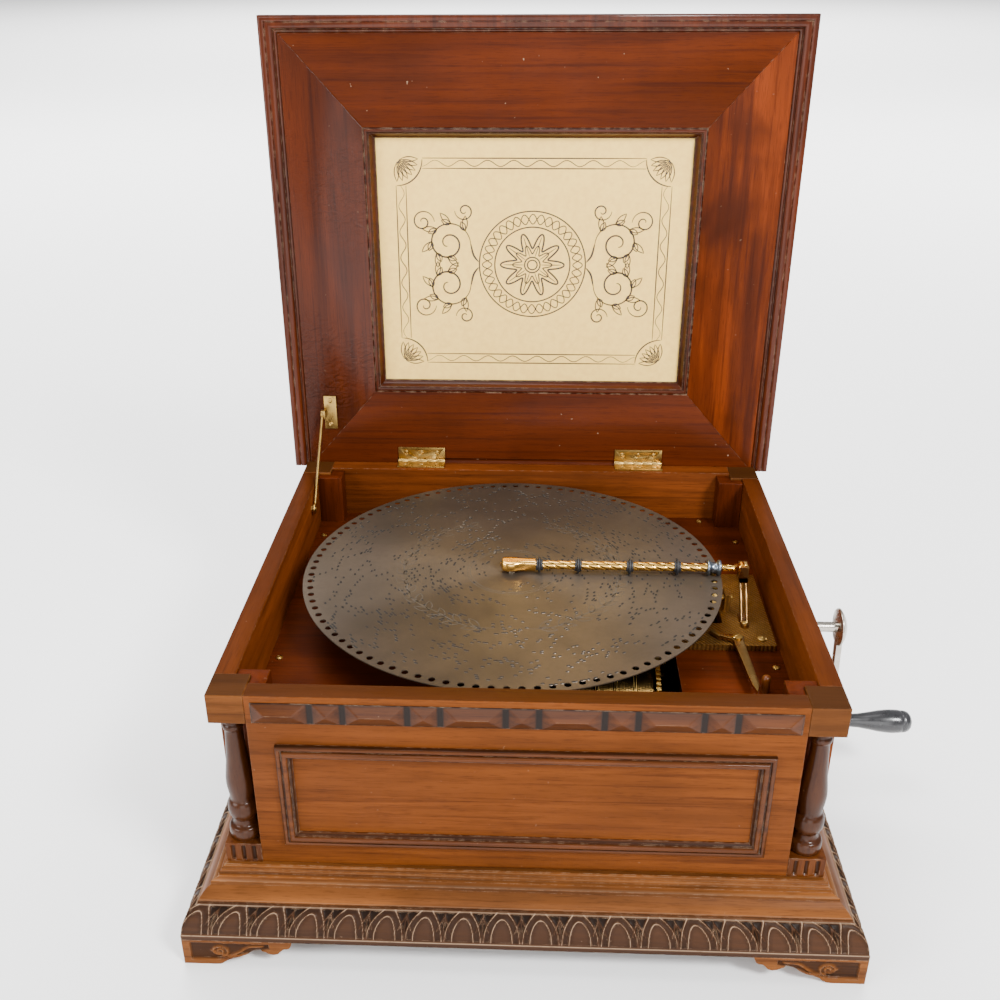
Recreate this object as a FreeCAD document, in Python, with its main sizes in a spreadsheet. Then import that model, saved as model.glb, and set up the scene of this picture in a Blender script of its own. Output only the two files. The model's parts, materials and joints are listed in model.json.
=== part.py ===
import FreeCAD, Part
import Sketcher
import math
import os
import re

# Disc music box with its lid standing open: a walnut case on a stepped base, a
# perforated steel disc on a centre spindle, a comb, a spring motor and a side crank.
# It is drawn in millimetres with X to the right, Y to the back and Z up, from a point on
# the floor under the middle of the case. The pieces are written out moved along X, so
# that the middle of the whole width, crank included, is at zero.

SIZES = {
    # Disc, which the case and the works are laid out round
    "disc_x": -14.7, "disc_y": 3, "disc_top": 238, "disc_radius": 196.85, "disc_thick": 1,
    "disc_holes": 96, "disc_hole_in": 7, "disc_hole_radius": 3, "spindle_radius": 4,
    # Case
    "side_gap": 19.45, "back_gap": 5.15, "rim_top": 251, "wall": 18, "notch": 30.2,
    "cap_height": 27, "post_wide": 26, "post_deep": 22, "post_drop": 2,
    "column_radius": 13.6, "plinth_height": 19.4,
    # Base
    "base_out_x": 36, "base_out_y": 37.5, "foot_height": 27, "fillet_height": 5.8,
    "egg_height": 23, "egg_set_in": 13, "cove_height": 24.8, "cove_out": 1.7,
    "cove_step": 6, "cove_waist": 12, "base_cut": 18,
    "foot_length": 93.5, "foot_thick": 18, "bottom_thick": 12,
    # Front dressing
    "frame_inset": 51.5, "frame_low": 103, "frame_high": 205, "frame_wide": 13, "frame_proud": 6,
    "rail_inset": 35, "rail_low": 226, "rail_high": 245, "rail_proud": 5,
    # Deck
    "deck_top": 196, "deck_thick": 10, "deck_hole_long": 195, "deck_hole_past": 17,
    "deck_hole_front": -150, "deck_hole_back": -40, "wheel_room": 6, "slot_room": 4.26875,
    "deck_screw_x": 42, "deck_screw_y": 10, "deck_screw_in": 9, "deck_screw_back": 75,
    "deck_screw_front": 134, "deck_screw_radius": 3, "bed_screw_radius": 4, "bed_screw_in": 12,
    # Lid, with its depth measured from the hinge line backwards and its reach upwards
    "lid_side": 14.8, "lid_front": 9, "lid_over": 7.2, "leaf_thick": 1.5, "lip_gap": 0.2,
    "lip_side": 17.8, "lip_front": 15, "lid_board": 14, "edge_depth": 17,
    "picture_side": 94.8, "hole_low": 81, "picture_front": 101, "bead_wide": 11, "bead_deep": 11.5,
    "top_thick": 7, "top_rise": 9, "top_border": 60,
    # Hinges and lid stay
    "hinge_x": 120.5, "hinge_wide": 52, "hinge_leaf": 16, "hinge_back": 2,
    "knuckle_radius": 3, "knuckles": 5, "pin_radius": 1.2, "relief": 0.3,
    "stay_in": 2.9, "stay_thick": 2.8, "stay_up": 57, "stay_out": 5, "stay_wide": 4,
    "stay_pin_in": 83, "stay_pin_z": 233, "stay_pin_radius": 2, "stay_slack": 0.5,
    "plate_wide": 13.5, "plate_long": 38,
    # Hold-down arm
    "arm_radius": 4.2, "head_room": 0.95, "roller_radius": 7.5, "roller_thick": 4.5, "roller_gap": 0.2,
    "pivot_out": 27.85, "arm_pin": 2, "yoke_gap": 7.6, "yoke_wall": 3,
    "share_one": 0.133096, "share_two": 0.318517, "share_three": 0.564897, "share_four": 0.790958,
    "collar_wide": 13.5, "collar_flange": 3.5,
    # Bedplate, star wheels and comb
    "bed_left_out": 30.3, "bed_right_out": 51.85, "bed_front": -62, "bed_back": 68, "bed_thick": 6,
    "star_radius": 5.5, "star_count": 30, "star_thick": 1.4, "star_inner": 26.7,
    "star_clear": 12, "star_rod": 1.5, "star_gap": 0.5, "comb_gap": 1,
    "comb_thick": 2.5, "comb_back": 24, "comb_front": 42,
    # Spring motor and winding train
    "gear_module": 1.5, "gear_thick": 6, "shaft_radius": 3, "arbor_radius": 5,
    "barrel_y": -62, "barrel_z": 140, "barrel_radius": 38, "barrel_long": 72,
    "barrel_clear": 32, "barrel_wall": 2.5, "great_teeth": 60, "pinion_teeth": 20,
    "lay_teeth": 64, "sprocket_teeth": 24, "sprocket_pins": 12, "pin_thick": 1.5,
    "governor_teeth": 24, "worm_radius": 4, "worm_gap": 0.3, "governor_clear": 19,
    "worm_half": 22, "worm_shaft": 2, "fly_drop": 66, "fly_thick": 1.2, "fly_wide": 30,
    "fly_tall": 26, "fly_end": 2, "shaft_end_room": 8, "lug_room": 14, "lug_drop": 34,
    "crank_y": 12, "crank_z": 177, "crank_teeth": 20, "idler_teeth": 24, "wind_teeth": 48,
    "running": 0.05, "plate_thick": 4,
    "plate_one_clear": 22, "plate_two_clear": 10, "plate_three_out": 22.85,
    "plate_front_out": 23, "plate_one_back": 18, "plate_two_back": 36, "plate_three_back": 30,
    "plate_low": 118, "plate_two_low": 100, "flange_wide": 12,
    "drive_in": 15.15, "wind_clear": 7,
    # Crank
    "crank_out": 55, "crank_y_grip": 0, "crank_z_grip": 75, "hub_radius": 18.5,
    "hub_thick": 9, "arm_thick": 6, "grip_length": 78, "grip_radius": 11.8,
    "grip_neck": 6.3, "grip_pin": 3,
    # Start lever
    "lever_in": 11, "lever_y": -57, "lever_thick": 3, "lever_lift": 2,
    "lever_reach": 84, "peg_out": 3, "peg_y": -124, "peg_radius": 4, "peg_height": 16,
}

# Sizes that follow from the ones above.
DERIVED = {
    "case_x": "disc_radius - disc_x + side_gap + wall",
    "case_y": "disc_radius + disc_y + back_gap + wall",
    "base_x": "case_x + base_out_x",
    "base_y": "case_y + base_out_y",
    "frame_x": "case_x - frame_inset",
    "rail_x": "case_x - rail_inset",
    "lid_x": "case_x + lid_side",
    "lid_reach": "2 * case_y + hinge_back + lid_front",
    "hole_x": "lid_x - picture_side",
    "hole_high": "lid_reach - picture_front",
    "ring_x": "disc_x + disc_radius - disc_hole_in",
    "arm_pivot_x": "ring_x + pivot_out",
    "roller_one": "disc_x + share_one * disc_radius",
    "roller_two": "disc_x + share_two * disc_radius",
    "roller_three": "disc_x + share_three * disc_radius",
    "roller_four": "disc_x + share_four * disc_radius",
    "bed_left": "disc_x - bed_left_out",
    "bed_right": "ring_x + bed_right_out",
    "drive_x": "ring_x - drive_in",
    "star_left": "disc_x + star_inner",
    "star_right": "drive_x - star_clear",
    "plate_two_x": "drive_x - plate_two_clear",
    "governor_x": "plate_two_x - governor_clear",
    "barrel_right": "plate_two_x - barrel_clear",
    "barrel_left": "barrel_right - barrel_long",
    "plate_one_x": "barrel_left - plate_one_clear",
    "plate_three_x": "ring_x + plate_three_out",
    "wind_x": "plate_three_x + wind_clear",
    "deck_hole_right": "barrel_right + deck_hole_past",
    "deck_hole_left": "deck_hole_right - deck_hole_long",
    "crank_x": "case_x + crank_out",
    "lever_x": "arm_pivot_x - lever_in",
    "peg_x": "arm_pivot_x + peg_out",
    "wall_foot": "foot_height + fillet_height + egg_height + cove_height",
    "inner_x": "case_x - wall",
    "inner_y": "case_y - wall",
    "stay_x": "stay_in - inner_x",
    "stay_pin_y": "case_y - stay_pin_in",
    "hinge_y": "case_y + hinge_back",
    "hinge_z": "rim_top + leaf_thick",
    "disc_low": "disc_top - disc_thick",
    "hole_ring": "disc_radius - disc_hole_in",
    "arm_z": "disc_top + roller_gap + roller_radius",
    "bed_top": "deck_top + bed_thick",
    "sprocket_radius": "(disc_radius - disc_hole_in) * sprocket_pins / disc_holes",
    "sprocket_z": "disc_top - disc_thick / 2 - (disc_radius - disc_hole_in) * sprocket_pins / disc_holes",
    "star_z": "disc_top - disc_thick - star_gap - star_radius",
}

doc = FreeCAD.newDocument("music_box")
sheet = doc.addObject("Spreadsheet::Sheet", "Sizes")
for row, (alias, value) in enumerate({**SIZES, **DERIVED}.items(), start=1):
    sheet.set(f"A{row}", alias)
    text = str(value)
    if alias in DERIVED:
        text = "=" + text
    sheet.set(f"B{row}", text)
    sheet.setAlias(f"B{row}", alias)
doc.recompute()

NODES = []
V = FreeCAD.Vector
ABOUT_X = FreeCAD.Rotation(V(0, 1, 0), 90)
ABOUT_Y = FreeCAD.Rotation(V(1, 0, 0), -90)
UPRIGHT = FreeCAD.Rotation()
TURNS = {"X": ABOUT_X, "Y": ABOUT_Y, "Z": UPRIGHT}


def size(alias):
    """The present value of one named size."""
    return float(sheet.get(alias))


def bound(text):
    """An expression in which each named size points at its cell."""
    names = {**SIZES, **DERIVED}
    return re.sub(r"\b[a-z]\w*\b", lambda m: "Sizes." + m[0] if m[0] in names else m[0], str(text))


def keep(thing):
    """Marks an object as one of the pieces that are written out."""
    NODES.append(thing)
    return thing


def place(thing, x, y, z, turn=UPRIGHT):
    """Puts an object at x, y, z, each an expression."""
    thing.Placement = FreeCAD.Placement(V(), turn)
    for axis, text in zip("xyz", (x, y, z)):
        thing.setExpression(f"Placement.Base.{axis}", bound(text))
    return thing


def box(label, x, y, z):
    """A block between pairs of low and high expressions."""
    thing = doc.addObject("Part::Box", label)
    for name, (low, high) in zip(("Length", "Width", "Height"), (x, y, z)):
        thing.setExpression(name, bound(f"({high}) - ({low})"))
    return place(thing, x[0], y[0], z[0])


def rod(label, axis, x, y, z, radius, length):
    """A round bar that starts at x, y, z and runs along an axis."""
    thing = doc.addObject("Part::Cylinder", label)
    thing.setExpression("Radius", bound(radius))
    thing.setExpression("Height", bound(length))
    return place(thing, x, y, z, TURNS[axis])


def frustum(label, low, high, z_low, z_high):
    """A four-sided block that narrows from half sizes low to half sizes high."""
    thing = doc.addObject("Part::Wedge", label)
    for name, text in (("Xmin", f"-({low[0]})"), ("Xmax", low[0]), ("Zmin", f"-({low[1]})"),
                       ("Zmax", low[1]), ("X2min", f"-({high[0]})"), ("X2max", high[0]),
                       ("Z2min", f"-({high[1]})"), ("Z2max", high[1]), ("Ymin", "0"),
                       ("Ymax", f"({z_high}) - ({z_low})")):
        thing.setExpression(name, bound(text))
    return place(thing, "0", "0", z_low, FreeCAD.Rotation(V(1, 0, 0), 90))


def fuse(label, parts):
    """One solid from several that touch."""
    thing = doc.addObject("Part::MultiFuse", label)
    thing.Shapes = parts
    return thing


def group(label, parts):
    """Several separate solids under one name."""
    thing = doc.addObject("Part::Compound", label)
    thing.Links = parts
    return thing


def cut(label, base, tools):
    """A solid with others taken away from it."""
    thing = doc.addObject("Part::Cut", label)
    thing.Base = base
    thing.Tool = tools[0] if len(tools) == 1 else group(label + "_tools", tools)
    return thing


def plane_of(body, role):
    """One of a body's own origin planes."""
    return [item for item in body.Origin.OriginFeatures if item.Role == role][0]


def outline(body, role, points):
    """A closed sketch through points, each a pair of expressions bound to the sheet."""
    sketch = body.newObject("Sketcher::SketchObject", body.Name + "_outline")
    sketch.AttachmentSupport = (plane_of(body, role), "")
    sketch.MapMode = "FlatFace"
    count = len(points)
    rough = [V(math.cos(6.28 * i / count), math.sin(6.28 * i / count), 0) for i in range(count)]
    sketch.addGeometry([Part.LineSegment(rough[i], rough[(i + 1) % count]) for i in range(count)])
    sketch.addConstraint([Sketcher.Constraint("Coincident", i, 2, (i + 1) % count, 1)
                          for i in range(count)])
    for i, point in enumerate(points):
        for kind, text in zip(("DistanceX", "DistanceY"), point):
            index = sketch.addConstraint(Sketcher.Constraint(kind, -1, 1, i, 1, 1.0))
            sketch.setExpression(f"Constraints[{index}]", bound(text))
    return sketch


def prism(label, role, points, low, high):
    """An outline on one plane, padded from low to high along that plane's normal."""
    body = doc.addObject("PartDesign::Body", label)
    sketch = outline(body, role, points)
    pad = body.newObject("PartDesign::Pad", label + "_pad")
    pad.Profile = sketch
    pad.setExpression("Length", bound(f"({high}) - ({low})"))
    pad.Reversed = role == "XZ_Plane"
    shift = {"XY_Plane": "z", "XZ_Plane": "y", "YZ_Plane": "x"}[role]
    body.setExpression(f"Placement.Base.{shift}", bound(low))
    return body


def turned(label, profile):
    """A piece turned on a lathe about Z, from pairs of radius and height."""
    body = doc.addObject("PartDesign::Body", label)
    sketch = outline(body, "XZ_Plane", profile)
    spun = body.newObject("PartDesign::Revolution", label + "_turning")
    spun.Profile = sketch
    spun.ReferenceAxis = (sketch, ["V_Axis"])
    spun.Angle = 360
    return body


def side(sign, low, high):
    """A pair of limits, mirrored through zero where the sign is negative."""
    return (low, high) if sign > 0 else (f"-({high})", f"-({low})")


def toothed(teeth, x, y, z, thick, phase, lean=0.31, tip=0.11):
    """A spur wheel about X whose first tooth points at the phase, in degrees from +Y to +Z."""
    module = size("gear_module")
    root = module * (teeth / 2 - 1.25)
    outer = module * (teeth / 2 + 1)
    points = []
    for tooth in range(teeth):
        for offset, radius in ((-lean, root), (-tip, outer), (tip, outer), (lean, root)):
            angle = math.radians(phase) + 2 * math.pi * (tooth + offset) / teeth
            points.append(V(x, y + radius * math.cos(angle), z + radius * math.sin(angle)))
    wire = Part.makePolygon(points + points[:1])
    return Part.Face(wire).extrude(V(thick, 0, 0))


def bar(x_low, x_high, y, z, radius):
    """A round bar along X as a bare shape."""
    return Part.makeCylinder(radius, x_high - x_low, V(x_low, y, z), V(1, 0, 0))


def wheelwork(label, solids, holes=()):
    """A toothed piece: its wheels and shafts joined, with its bores taken out."""
    shape = solids[0].fuse(solids[1:]) if len(solids) > 1 else solids[0]
    for hole in holes:
        shape = shape.cut(hole)
    thing = doc.addObject("Part::Feature", label)
    thing.Shape = shape.removeSplitter()
    thing.Placement = FreeCAD.Placement()
    return keep(thing)


def meeting(one, reach_one, two, reach_two, turn):
    """The point at given distances from two centres, on the side that the turn's sign picks."""
    dy, dz = two[0] - one[0], two[1] - one[1]
    apart = math.hypot(dy, dz)
    along = (reach_one ** 2 - reach_two ** 2 + apart ** 2) / (2 * apart)
    across = turn * math.sqrt(reach_one ** 2 - along ** 2)
    return (one[0] + (along * dy - across * dz) / apart, one[1] + (along * dz + across * dy) / apart)


def bearing(one, two):
    """The direction from one centre to another, in degrees from +Y to +Z."""
    return math.degrees(math.atan2(two[1] - one[1], two[0] - one[0]))


# Base: a bottom board inside four mitred lengths of moulding on bracket feet.

keep(box("bottom_board", ("-inner_x", "inner_x"), ("-inner_y", "inner_y"),
         ("foot_height", "foot_height + bottom_thick")))


def base_stack():
    """The stepped outline of the base as one block: fillet, egg band, cove and top step."""
    egg_foot = "foot_height + fillet_height"
    egg_top = "foot_height + fillet_height + egg_height"
    return fuse("base_block", [
        box("base_fillet", ("-base_x", "base_x"), ("-base_y", "base_y"), ("foot_height", egg_foot)),
        frustum("egg_band", ("base_x", "base_y"), ("base_x - egg_set_in", "base_y - egg_set_in"),
                egg_foot, egg_top),
        frustum("cove_low", ("base_x - egg_set_in - 2", "base_y - egg_set_in - 2"),
                ("case_x + cove_waist", "case_y + cove_waist"), egg_top, egg_top + " + cove_height / 2"),
        frustum("cove_high", ("case_x + cove_step", "case_y + cove_step"),
                ("case_x + cove_out", "case_y + cove_out"), egg_top + " + cove_height / 2", "wall_foot"),
    ])


def mitred_length(label, block, corner, inner):
    """One side of the base moulding: the block cut to a four-cornered plan."""
    plan = prism(label + "_plan", "XY_Plane", corner + inner, "foot_height", "wall_foot")
    thing = doc.addObject("Part::Common", label)
    thing.Base = block
    thing.Tool = plan
    return thing


block = base_stack()
lengths = []
for label, sign, across in (("base_moulding_front", -1, False), ("base_moulding_back", 1, False),
                            ("base_moulding_left", -1, True), ("base_moulding_right", 1, True)):
    wide = [("-base_x", f"{sign} * base_y"), ("base_x", f"{sign} * base_y")]
    narrow = [("inner_x", f"{sign} * inner_y"), ("-inner_x", f"{sign} * inner_y")]
    if across:
        wide = [(f"{sign} * base_x", "-base_y"), (f"{sign} * base_x", "base_y")]
        narrow = [(f"{sign} * inner_x", "inner_y"), (f"{sign} * inner_x", "-inner_y")]
    lengths.append(mitred_length(label, block, wide, narrow))
keep(lengths[0])
keep(lengths[1])
keep(group("base_moulding_sides", lengths[2:]))

# Outline of a bracket foot: share of its length from the corner, share of its height.
FOOT_CURVE = ((0, 0), (0.33, 0), (0.44, 0.26), (0.52, 0.35), (0.72, 0.61), (0.76, 0.52),
              (0.85, 0.5), (0.9, 0.67), (0.98, 0.8), (1, 1), (0, 1))
feet = []
for sx, sy, name in ((-1, -1, "front_left"), (1, -1, "front_right"),
                     (-1, 1, "back_left"), (1, 1, "back_right")):
    face = [(f"{sx} * (base_x - {along} * foot_length)", f"{up} * foot_height")
            for along, up in FOOT_CURVE]
    flank = [(f"{sy} * (base_y - {along} * foot_length)", f"{up} * foot_height")
             for along, up in FOOT_CURVE]
    front = prism(f"foot_face_{name}", "XZ_Plane", face, *side(sy, "base_y - foot_thick", "base_y"))
    return_side = prism(f"foot_return_{name}", "YZ_Plane", flank,
                        *side(sx, "base_x - foot_thick", "base_x"))
    feet.append(fuse(f"foot_{name}", [front, return_side]))
keep(group("bracket_feet", feet))

# Case: four panels, four turned columns in the corner notches, and the deck.

tall = ("wall_foot", "rim_top")
keep(box("front_panel", ("-(case_x - notch)", "case_x - notch"), ("-case_y", "-inner_y"), tall))
hinge_relief = rod("wall_hinge_relief", "X", "-hinge_x - hinge_wide / 2 - 1", "hinge_y", "hinge_z",
                   "knuckle_radius + relief", "2 * hinge_x + hinge_wide + 2")
keep(cut("back_panel", box("back_blank", ("-(case_x - notch)", "case_x - notch"),
                           ("inner_y", "case_y"), tall), [hinge_relief]))
keep(box("left_panel", ("-case_x", "-inner_x"), ("-(case_y - notch)", "case_y - notch"), tall))
keep(cut("right_panel", box("right_blank", ("inner_x", "case_x"),
                            ("-(case_y - notch)", "case_y - notch"), tall),
         [rod("crank_bore", "X", "inner_x - 1", "crank_y", "crank_z", "arbor_radius + 3", "wall + 2")]))

POSTS, COLUMNS, PLINTHS, CAPS = [], [], [], []
# Column outline: share of the greatest radius, share of the height.
COLUMN_CURVE = ((0, 0), (0.95, 0), (1, 0.03), (1, 0.08), (0.92, 0.105), (0.72, 0.12), (0.65, 0.14),
                (0.7, 0.165), (0.85, 0.19), (0.92, 0.22), (0.92, 0.26), (0.86, 0.29), (0.71, 0.315),
                (0.76, 0.37), (0.83, 0.42), (0.84, 0.47), (0.78, 0.54), (0.66, 0.65), (0.58, 0.78),
                (0.53, 0.88), (0.62, 0.895), (0.62, 0.93), (0.53, 0.94), (0.53, 0.96), (0.68, 0.97),
                (0.68, 1), (0, 1))
column_height = "(rim_top - cap_height - wall_foot - plinth_height)"
for sx, sy, name in ((-1, -1, "front_left"), (1, -1, "front_right"),
                     (-1, 1, "back_left"), (1, 1, "back_right")):
    notch_x = side(sx, "case_x - notch", "case_x")
    notch_y = side(sy, "case_y - notch", "case_y")
    post = box(f"post_block_{name}", side(sx, "inner_x - post_wide", "inner_x"),
               side(sy, "inner_y - post_deep", "inner_y"), ("wall_foot", "rim_top - post_drop"))
    space = box(f"post_notch_{name}", notch_x, notch_y, tall)
    POSTS.append(cut(f"corner_post_{name}", post, [space]))
    PLINTHS.append(box(f"plinth_{name}", notch_x, notch_y, ("wall_foot", "wall_foot + plinth_height")))
    CAPS.append(box(f"cap_{name}", notch_x, notch_y, ("rim_top - cap_height", "rim_top")))
    column = turned(f"column_{name}", [(f"{wide} * column_radius", f"{up} * {column_height}")
                                       for wide, up in COLUMN_CURVE])
    place(column, f"{sx} * (case_x - notch / 2)", f"{sy} * (case_y - notch / 2)",
          "wall_foot + plinth_height")
    COLUMNS.append(column)
keep(group("corner_posts", POSTS))
keep(group("column_plinths_and_caps", PLINTHS + CAPS))
keep(group("turned_columns", COLUMNS))

keep(cut("front_frame_moulding",
         box("moulding_blank", ("-frame_x", "frame_x"), ("-case_y - frame_proud", "-case_y"),
             ("frame_low", "frame_high")),
         [box("moulding_hole", ("-frame_x + frame_wide", "frame_x - frame_wide"),
              ("-case_y - frame_proud - 1", "-case_y + 1"),
              ("frame_low + frame_wide", "frame_high - frame_wide"))]))
keep(box("carved_rail", ("-rail_x", "rail_x"), ("-case_y - rail_proud", "-case_y"),
         ("rail_low", "rail_high")))

# Centres of the wheels of the two trains, each a pair of Y and Z.

module = size("gear_module")
great, pinion, lay = (int(size(name)) for name in ("great_teeth", "pinion_teeth", "lay_teeth"))
small, governor = int(size("sprocket_teeth")), int(size("governor_teeth"))
crank_teeth, idler_teeth, wind = (int(size(name)) for name in ("crank_teeth", "idler_teeth", "wind_teeth"))
barrel_at = (size("barrel_y"), size("barrel_z"))
sprocket_at = (size("disc_y"), size("sprocket_z"))
crank_at = (size("crank_y"), size("crank_z"))
lay_at = meeting(barrel_at, module * (great + pinion) / 2, sprocket_at, module * (lay + small) / 2, -1)
idler_at = meeting(crank_at, module * (crank_teeth + idler_teeth) / 2,
                   barrel_at, module * (idler_teeth + wind) / 2, 1)

# Deck: a board across the case with openings for the motor and the two trains.

deck_low = size("deck_top") - size("deck_thick")
lay_outer = module * (lay / 2 + 1)
# Half the chord of the great wheel at the deck's underside, with room beside it.
chord = math.sqrt(lay_outer ** 2 - (deck_low - lay_at[1]) ** 2) + size("wheel_room")
under = ("deck_top - deck_thick - 1", "deck_top + 1")
deck_openings = [
    box("motor_opening", ("deck_hole_left", "deck_hole_right"), ("deck_hole_front", "deck_hole_back"), under),
    box("drive_opening", ("drive_x - 4", "ring_x + 8"), (f"{lay_at[0] - chord}", f"{lay_at[0] + chord}"), under),
    box("wind_opening", ("wind_x - 2", "wind_x + gear_thick + 2"), ("crank_y - 20", "crank_y + 20"), under),
]
for sx in (-1, 1):
    for sy in (-1, 1):
        deck_openings.append(box(f"deck_corner_{sx + 1}{sy + 1}", side(sx, "inner_x - post_wide", "inner_x"),
                                 side(sy, "inner_y - post_deep", "inner_y"), under))
keep(cut("deck_board", box("deck_blank", ("-inner_x", "inner_x"), ("-inner_y", "inner_y"),
                           ("deck_top - deck_thick", "deck_top")), deck_openings))

# Lid, standing open: boards mitred round the picture, edge mouldings, top and picture.

board_y = ("hinge_y + leaf_thick", "hinge_y + leaf_thick + lid_board")
out_x = "(lid_x - lip_side)"
out_top = "(hinge_z + lid_reach - lip_front)"
out_low = "(hinge_z - lid_over)"
hole_top = "(hinge_z + hole_high)"
hole_low = "(hinge_z + hole_low)"
lid_corners = [("-" + out_x, out_low), (out_x, out_low), (out_x, out_top), ("-" + out_x, out_top)]
hole_corners = [("-hole_x", hole_low), ("hole_x", hole_low), ("hole_x", hole_top), ("-hole_x", hole_top)]
for index, label in enumerate(("lid_board_back", "lid_board_right", "lid_board_front", "lid_board_left")):
    after = (index + 1) % 4
    points = [lid_corners[index], lid_corners[after], hole_corners[after], hole_corners[index]]
    if index == 0:
        blank = prism("lid_back_blank", "XZ_Plane", points, *board_y)
        groove = rod("lid_hinge_relief", "X", "-hinge_x - hinge_wide / 2 - 1", "hinge_y", "hinge_z",
                     "knuckle_radius + relief", "2 * hinge_x + hinge_wide + 2")
        keep(cut(label, blank, [groove]))
    else:
        keep(prism(label, "XZ_Plane", points, *board_y))

lip = "hinge_y - leaf_thick + lip_gap"
edge_back = "hinge_y + edge_depth"
for sign, label in ((-1, "lid_edge_left"), (1, "lid_edge_right")):
    section = [(f"{sign} * {out_x}", lip), (f"{sign} * (lid_x - 2)", lip),
               (f"{sign} * lid_x", lip + " + 2"), (f"{sign} * lid_x", edge_back + " - 6"),
               (f"{sign} * (lid_x - 6)", edge_back), (f"{sign} * {out_x}", edge_back)]
    keep(prism(label, "XY_Plane", section, out_low, "hinge_z + lid_reach"))
top = "(hinge_z + lid_reach)"
section = [(lip, out_top), (lip, top + " - 2"), (lip + " + 2", top), (edge_back + " - 6", top),
           (edge_back, top + " - 6"), (edge_back, out_top)]
keep(prism("lid_edge_front", "YZ_Plane", section, "-" + out_x, out_x))

keep(cut("picture_bead",
         box("bead_blank", ("-hole_x", "hole_x"), ("hinge_y + leaf_thick", "hinge_y + leaf_thick + bead_deep"),
             ("hinge_z + hole_low", "hinge_z + hole_high")),
         [box("bead_hole", ("-hole_x + bead_wide", "hole_x - bead_wide"),
              ("hinge_y", "hinge_y + leaf_thick + bead_deep + 1"),
              ("hinge_z + hole_low + bead_wide", "hinge_z + hole_high - bead_wide"))]))
keep(box("picture_panel", ("-hole_x", "hole_x"),
         ("hinge_y + leaf_thick + bead_deep", "hinge_y + leaf_thick + lid_board"),
         ("hinge_z + hole_low", "hinge_z + hole_high")))
top_y = "hinge_y + edge_depth"
flat = box("top_flat", ("-" + out_x, out_x), ("hinge_y + leaf_thick + lid_board", top_y + " + top_thick"),
           (out_low, out_top))
rise = doc.addObject("Part::Wedge", "top_rise_block")
for name, text in (("Xmin", f"-({out_x} - 12)"), ("Xmax", f"{out_x} - 12"), ("Zmin", out_low + " + 12"),
                   ("Zmax", out_top + " - 12"), ("X2min", f"-({out_x} - top_border)"),
                   ("X2max", f"{out_x} - top_border"), ("Z2min", out_low + " + top_border"),
                   ("Z2max", out_top + " - top_border"), ("Ymin", top_y + " + top_thick"),
                   ("Ymax", top_y + " + top_thick + top_rise")):
    rise.setExpression(name, bound(text))
keep(fuse("lid_top_panel", [flat, rise]))

# Hinges: one leaf on the rim, one on the lid, and pins through their knuckles.

lid_leaves, rim_leaves, pins, lid_screws, case_screws = [], [], [], [], []
knuckle = "(hinge_wide / knuckles)"
for sign, name in ((-1, "left"), (1, "right")):
    start = f"({sign} * hinge_x - hinge_wide / 2)"
    end = f"({sign} * hinge_x + hinge_wide / 2)"
    bore = rod(f"hinge_bore_{name}", "X", start + " - 1", "hinge_y", "hinge_z",
               "pin_radius + running", "hinge_wide + 2")
    pins.append(rod(f"hinge_pin_{name}", "X", start, "hinge_y", "hinge_z", "pin_radius", "hinge_wide"))
    for kind, first in (("rim", 0), ("lid", 1)):
        barrels = [rod(f"{kind}_knuckle_{name}_{index}", "X", f"{start} + {index} * {knuckle} + 0.1",
                       "hinge_y", "hinge_z", "knuckle_radius", f"{knuckle} - 0.2")
                   for index in range(first, int(size("knuckles")), 2)]
        clear = [box(f"{kind}_gap_{name}_{index}", (f"{start} + {index} * {knuckle} - 0.1",
                                                    f"{start} + ({index} + 1) * {knuckle} + 0.1"),
                     ("hinge_y - knuckle_radius - relief", "hinge_y + knuckle_radius + relief"),
                     ("hinge_z - knuckle_radius - relief", "hinge_z + knuckle_radius + relief"))
                 for index in range(1 - first, int(size("knuckles")), 2)]
        across = [f"{sign} * hinge_x + {step} * hinge_wide / 3" for step in (-1, 0, 1)]
        if kind == "rim":
            leaf = box(f"rim_flap_{name}", (start, end), ("hinge_y - hinge_leaf", "hinge_y"),
                       ("rim_top", "hinge_z"))
            screws = [rod(f"rim_screw_{name}_{index}", "Z", x, "hinge_y - hinge_leaf * 0.62", "rim_top",
                          "2.6", "leaf_thick") for index, x in enumerate(across)]
            rim_leaves.append(cut(f"rim_leaf_{name}", fuse(f"rim_solid_{name}", [leaf] + barrels),
                                  clear + [bore] + screws))
            case_screws += screws
        else:
            leaf = box(f"lid_flap_{name}", (start, end), ("hinge_y", "hinge_y + leaf_thick"),
                       ("hinge_z", "hinge_z + hinge_leaf"))
            screws = [rod(f"lid_screw_{name}_{index}", "Y", x, "hinge_y", "hinge_z + hinge_leaf * 0.62",
                          "2.6", "leaf_thick") for index, x in enumerate(across)]
            lid_leaves.append(cut(f"lid_leaf_{name}", fuse(f"lid_solid_{name}", [leaf] + barrels),
                                  clear + [bore] + screws))
            lid_screws += screws
keep(group("hinge_leaves_rim", rim_leaves))
keep(group("hinge_leaves_lid", lid_leaves))
keep(group("hinge_pins", pins))

# Lid stay: a rod that turns on a plate on the lid and hooks over a pin in the case.

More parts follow.
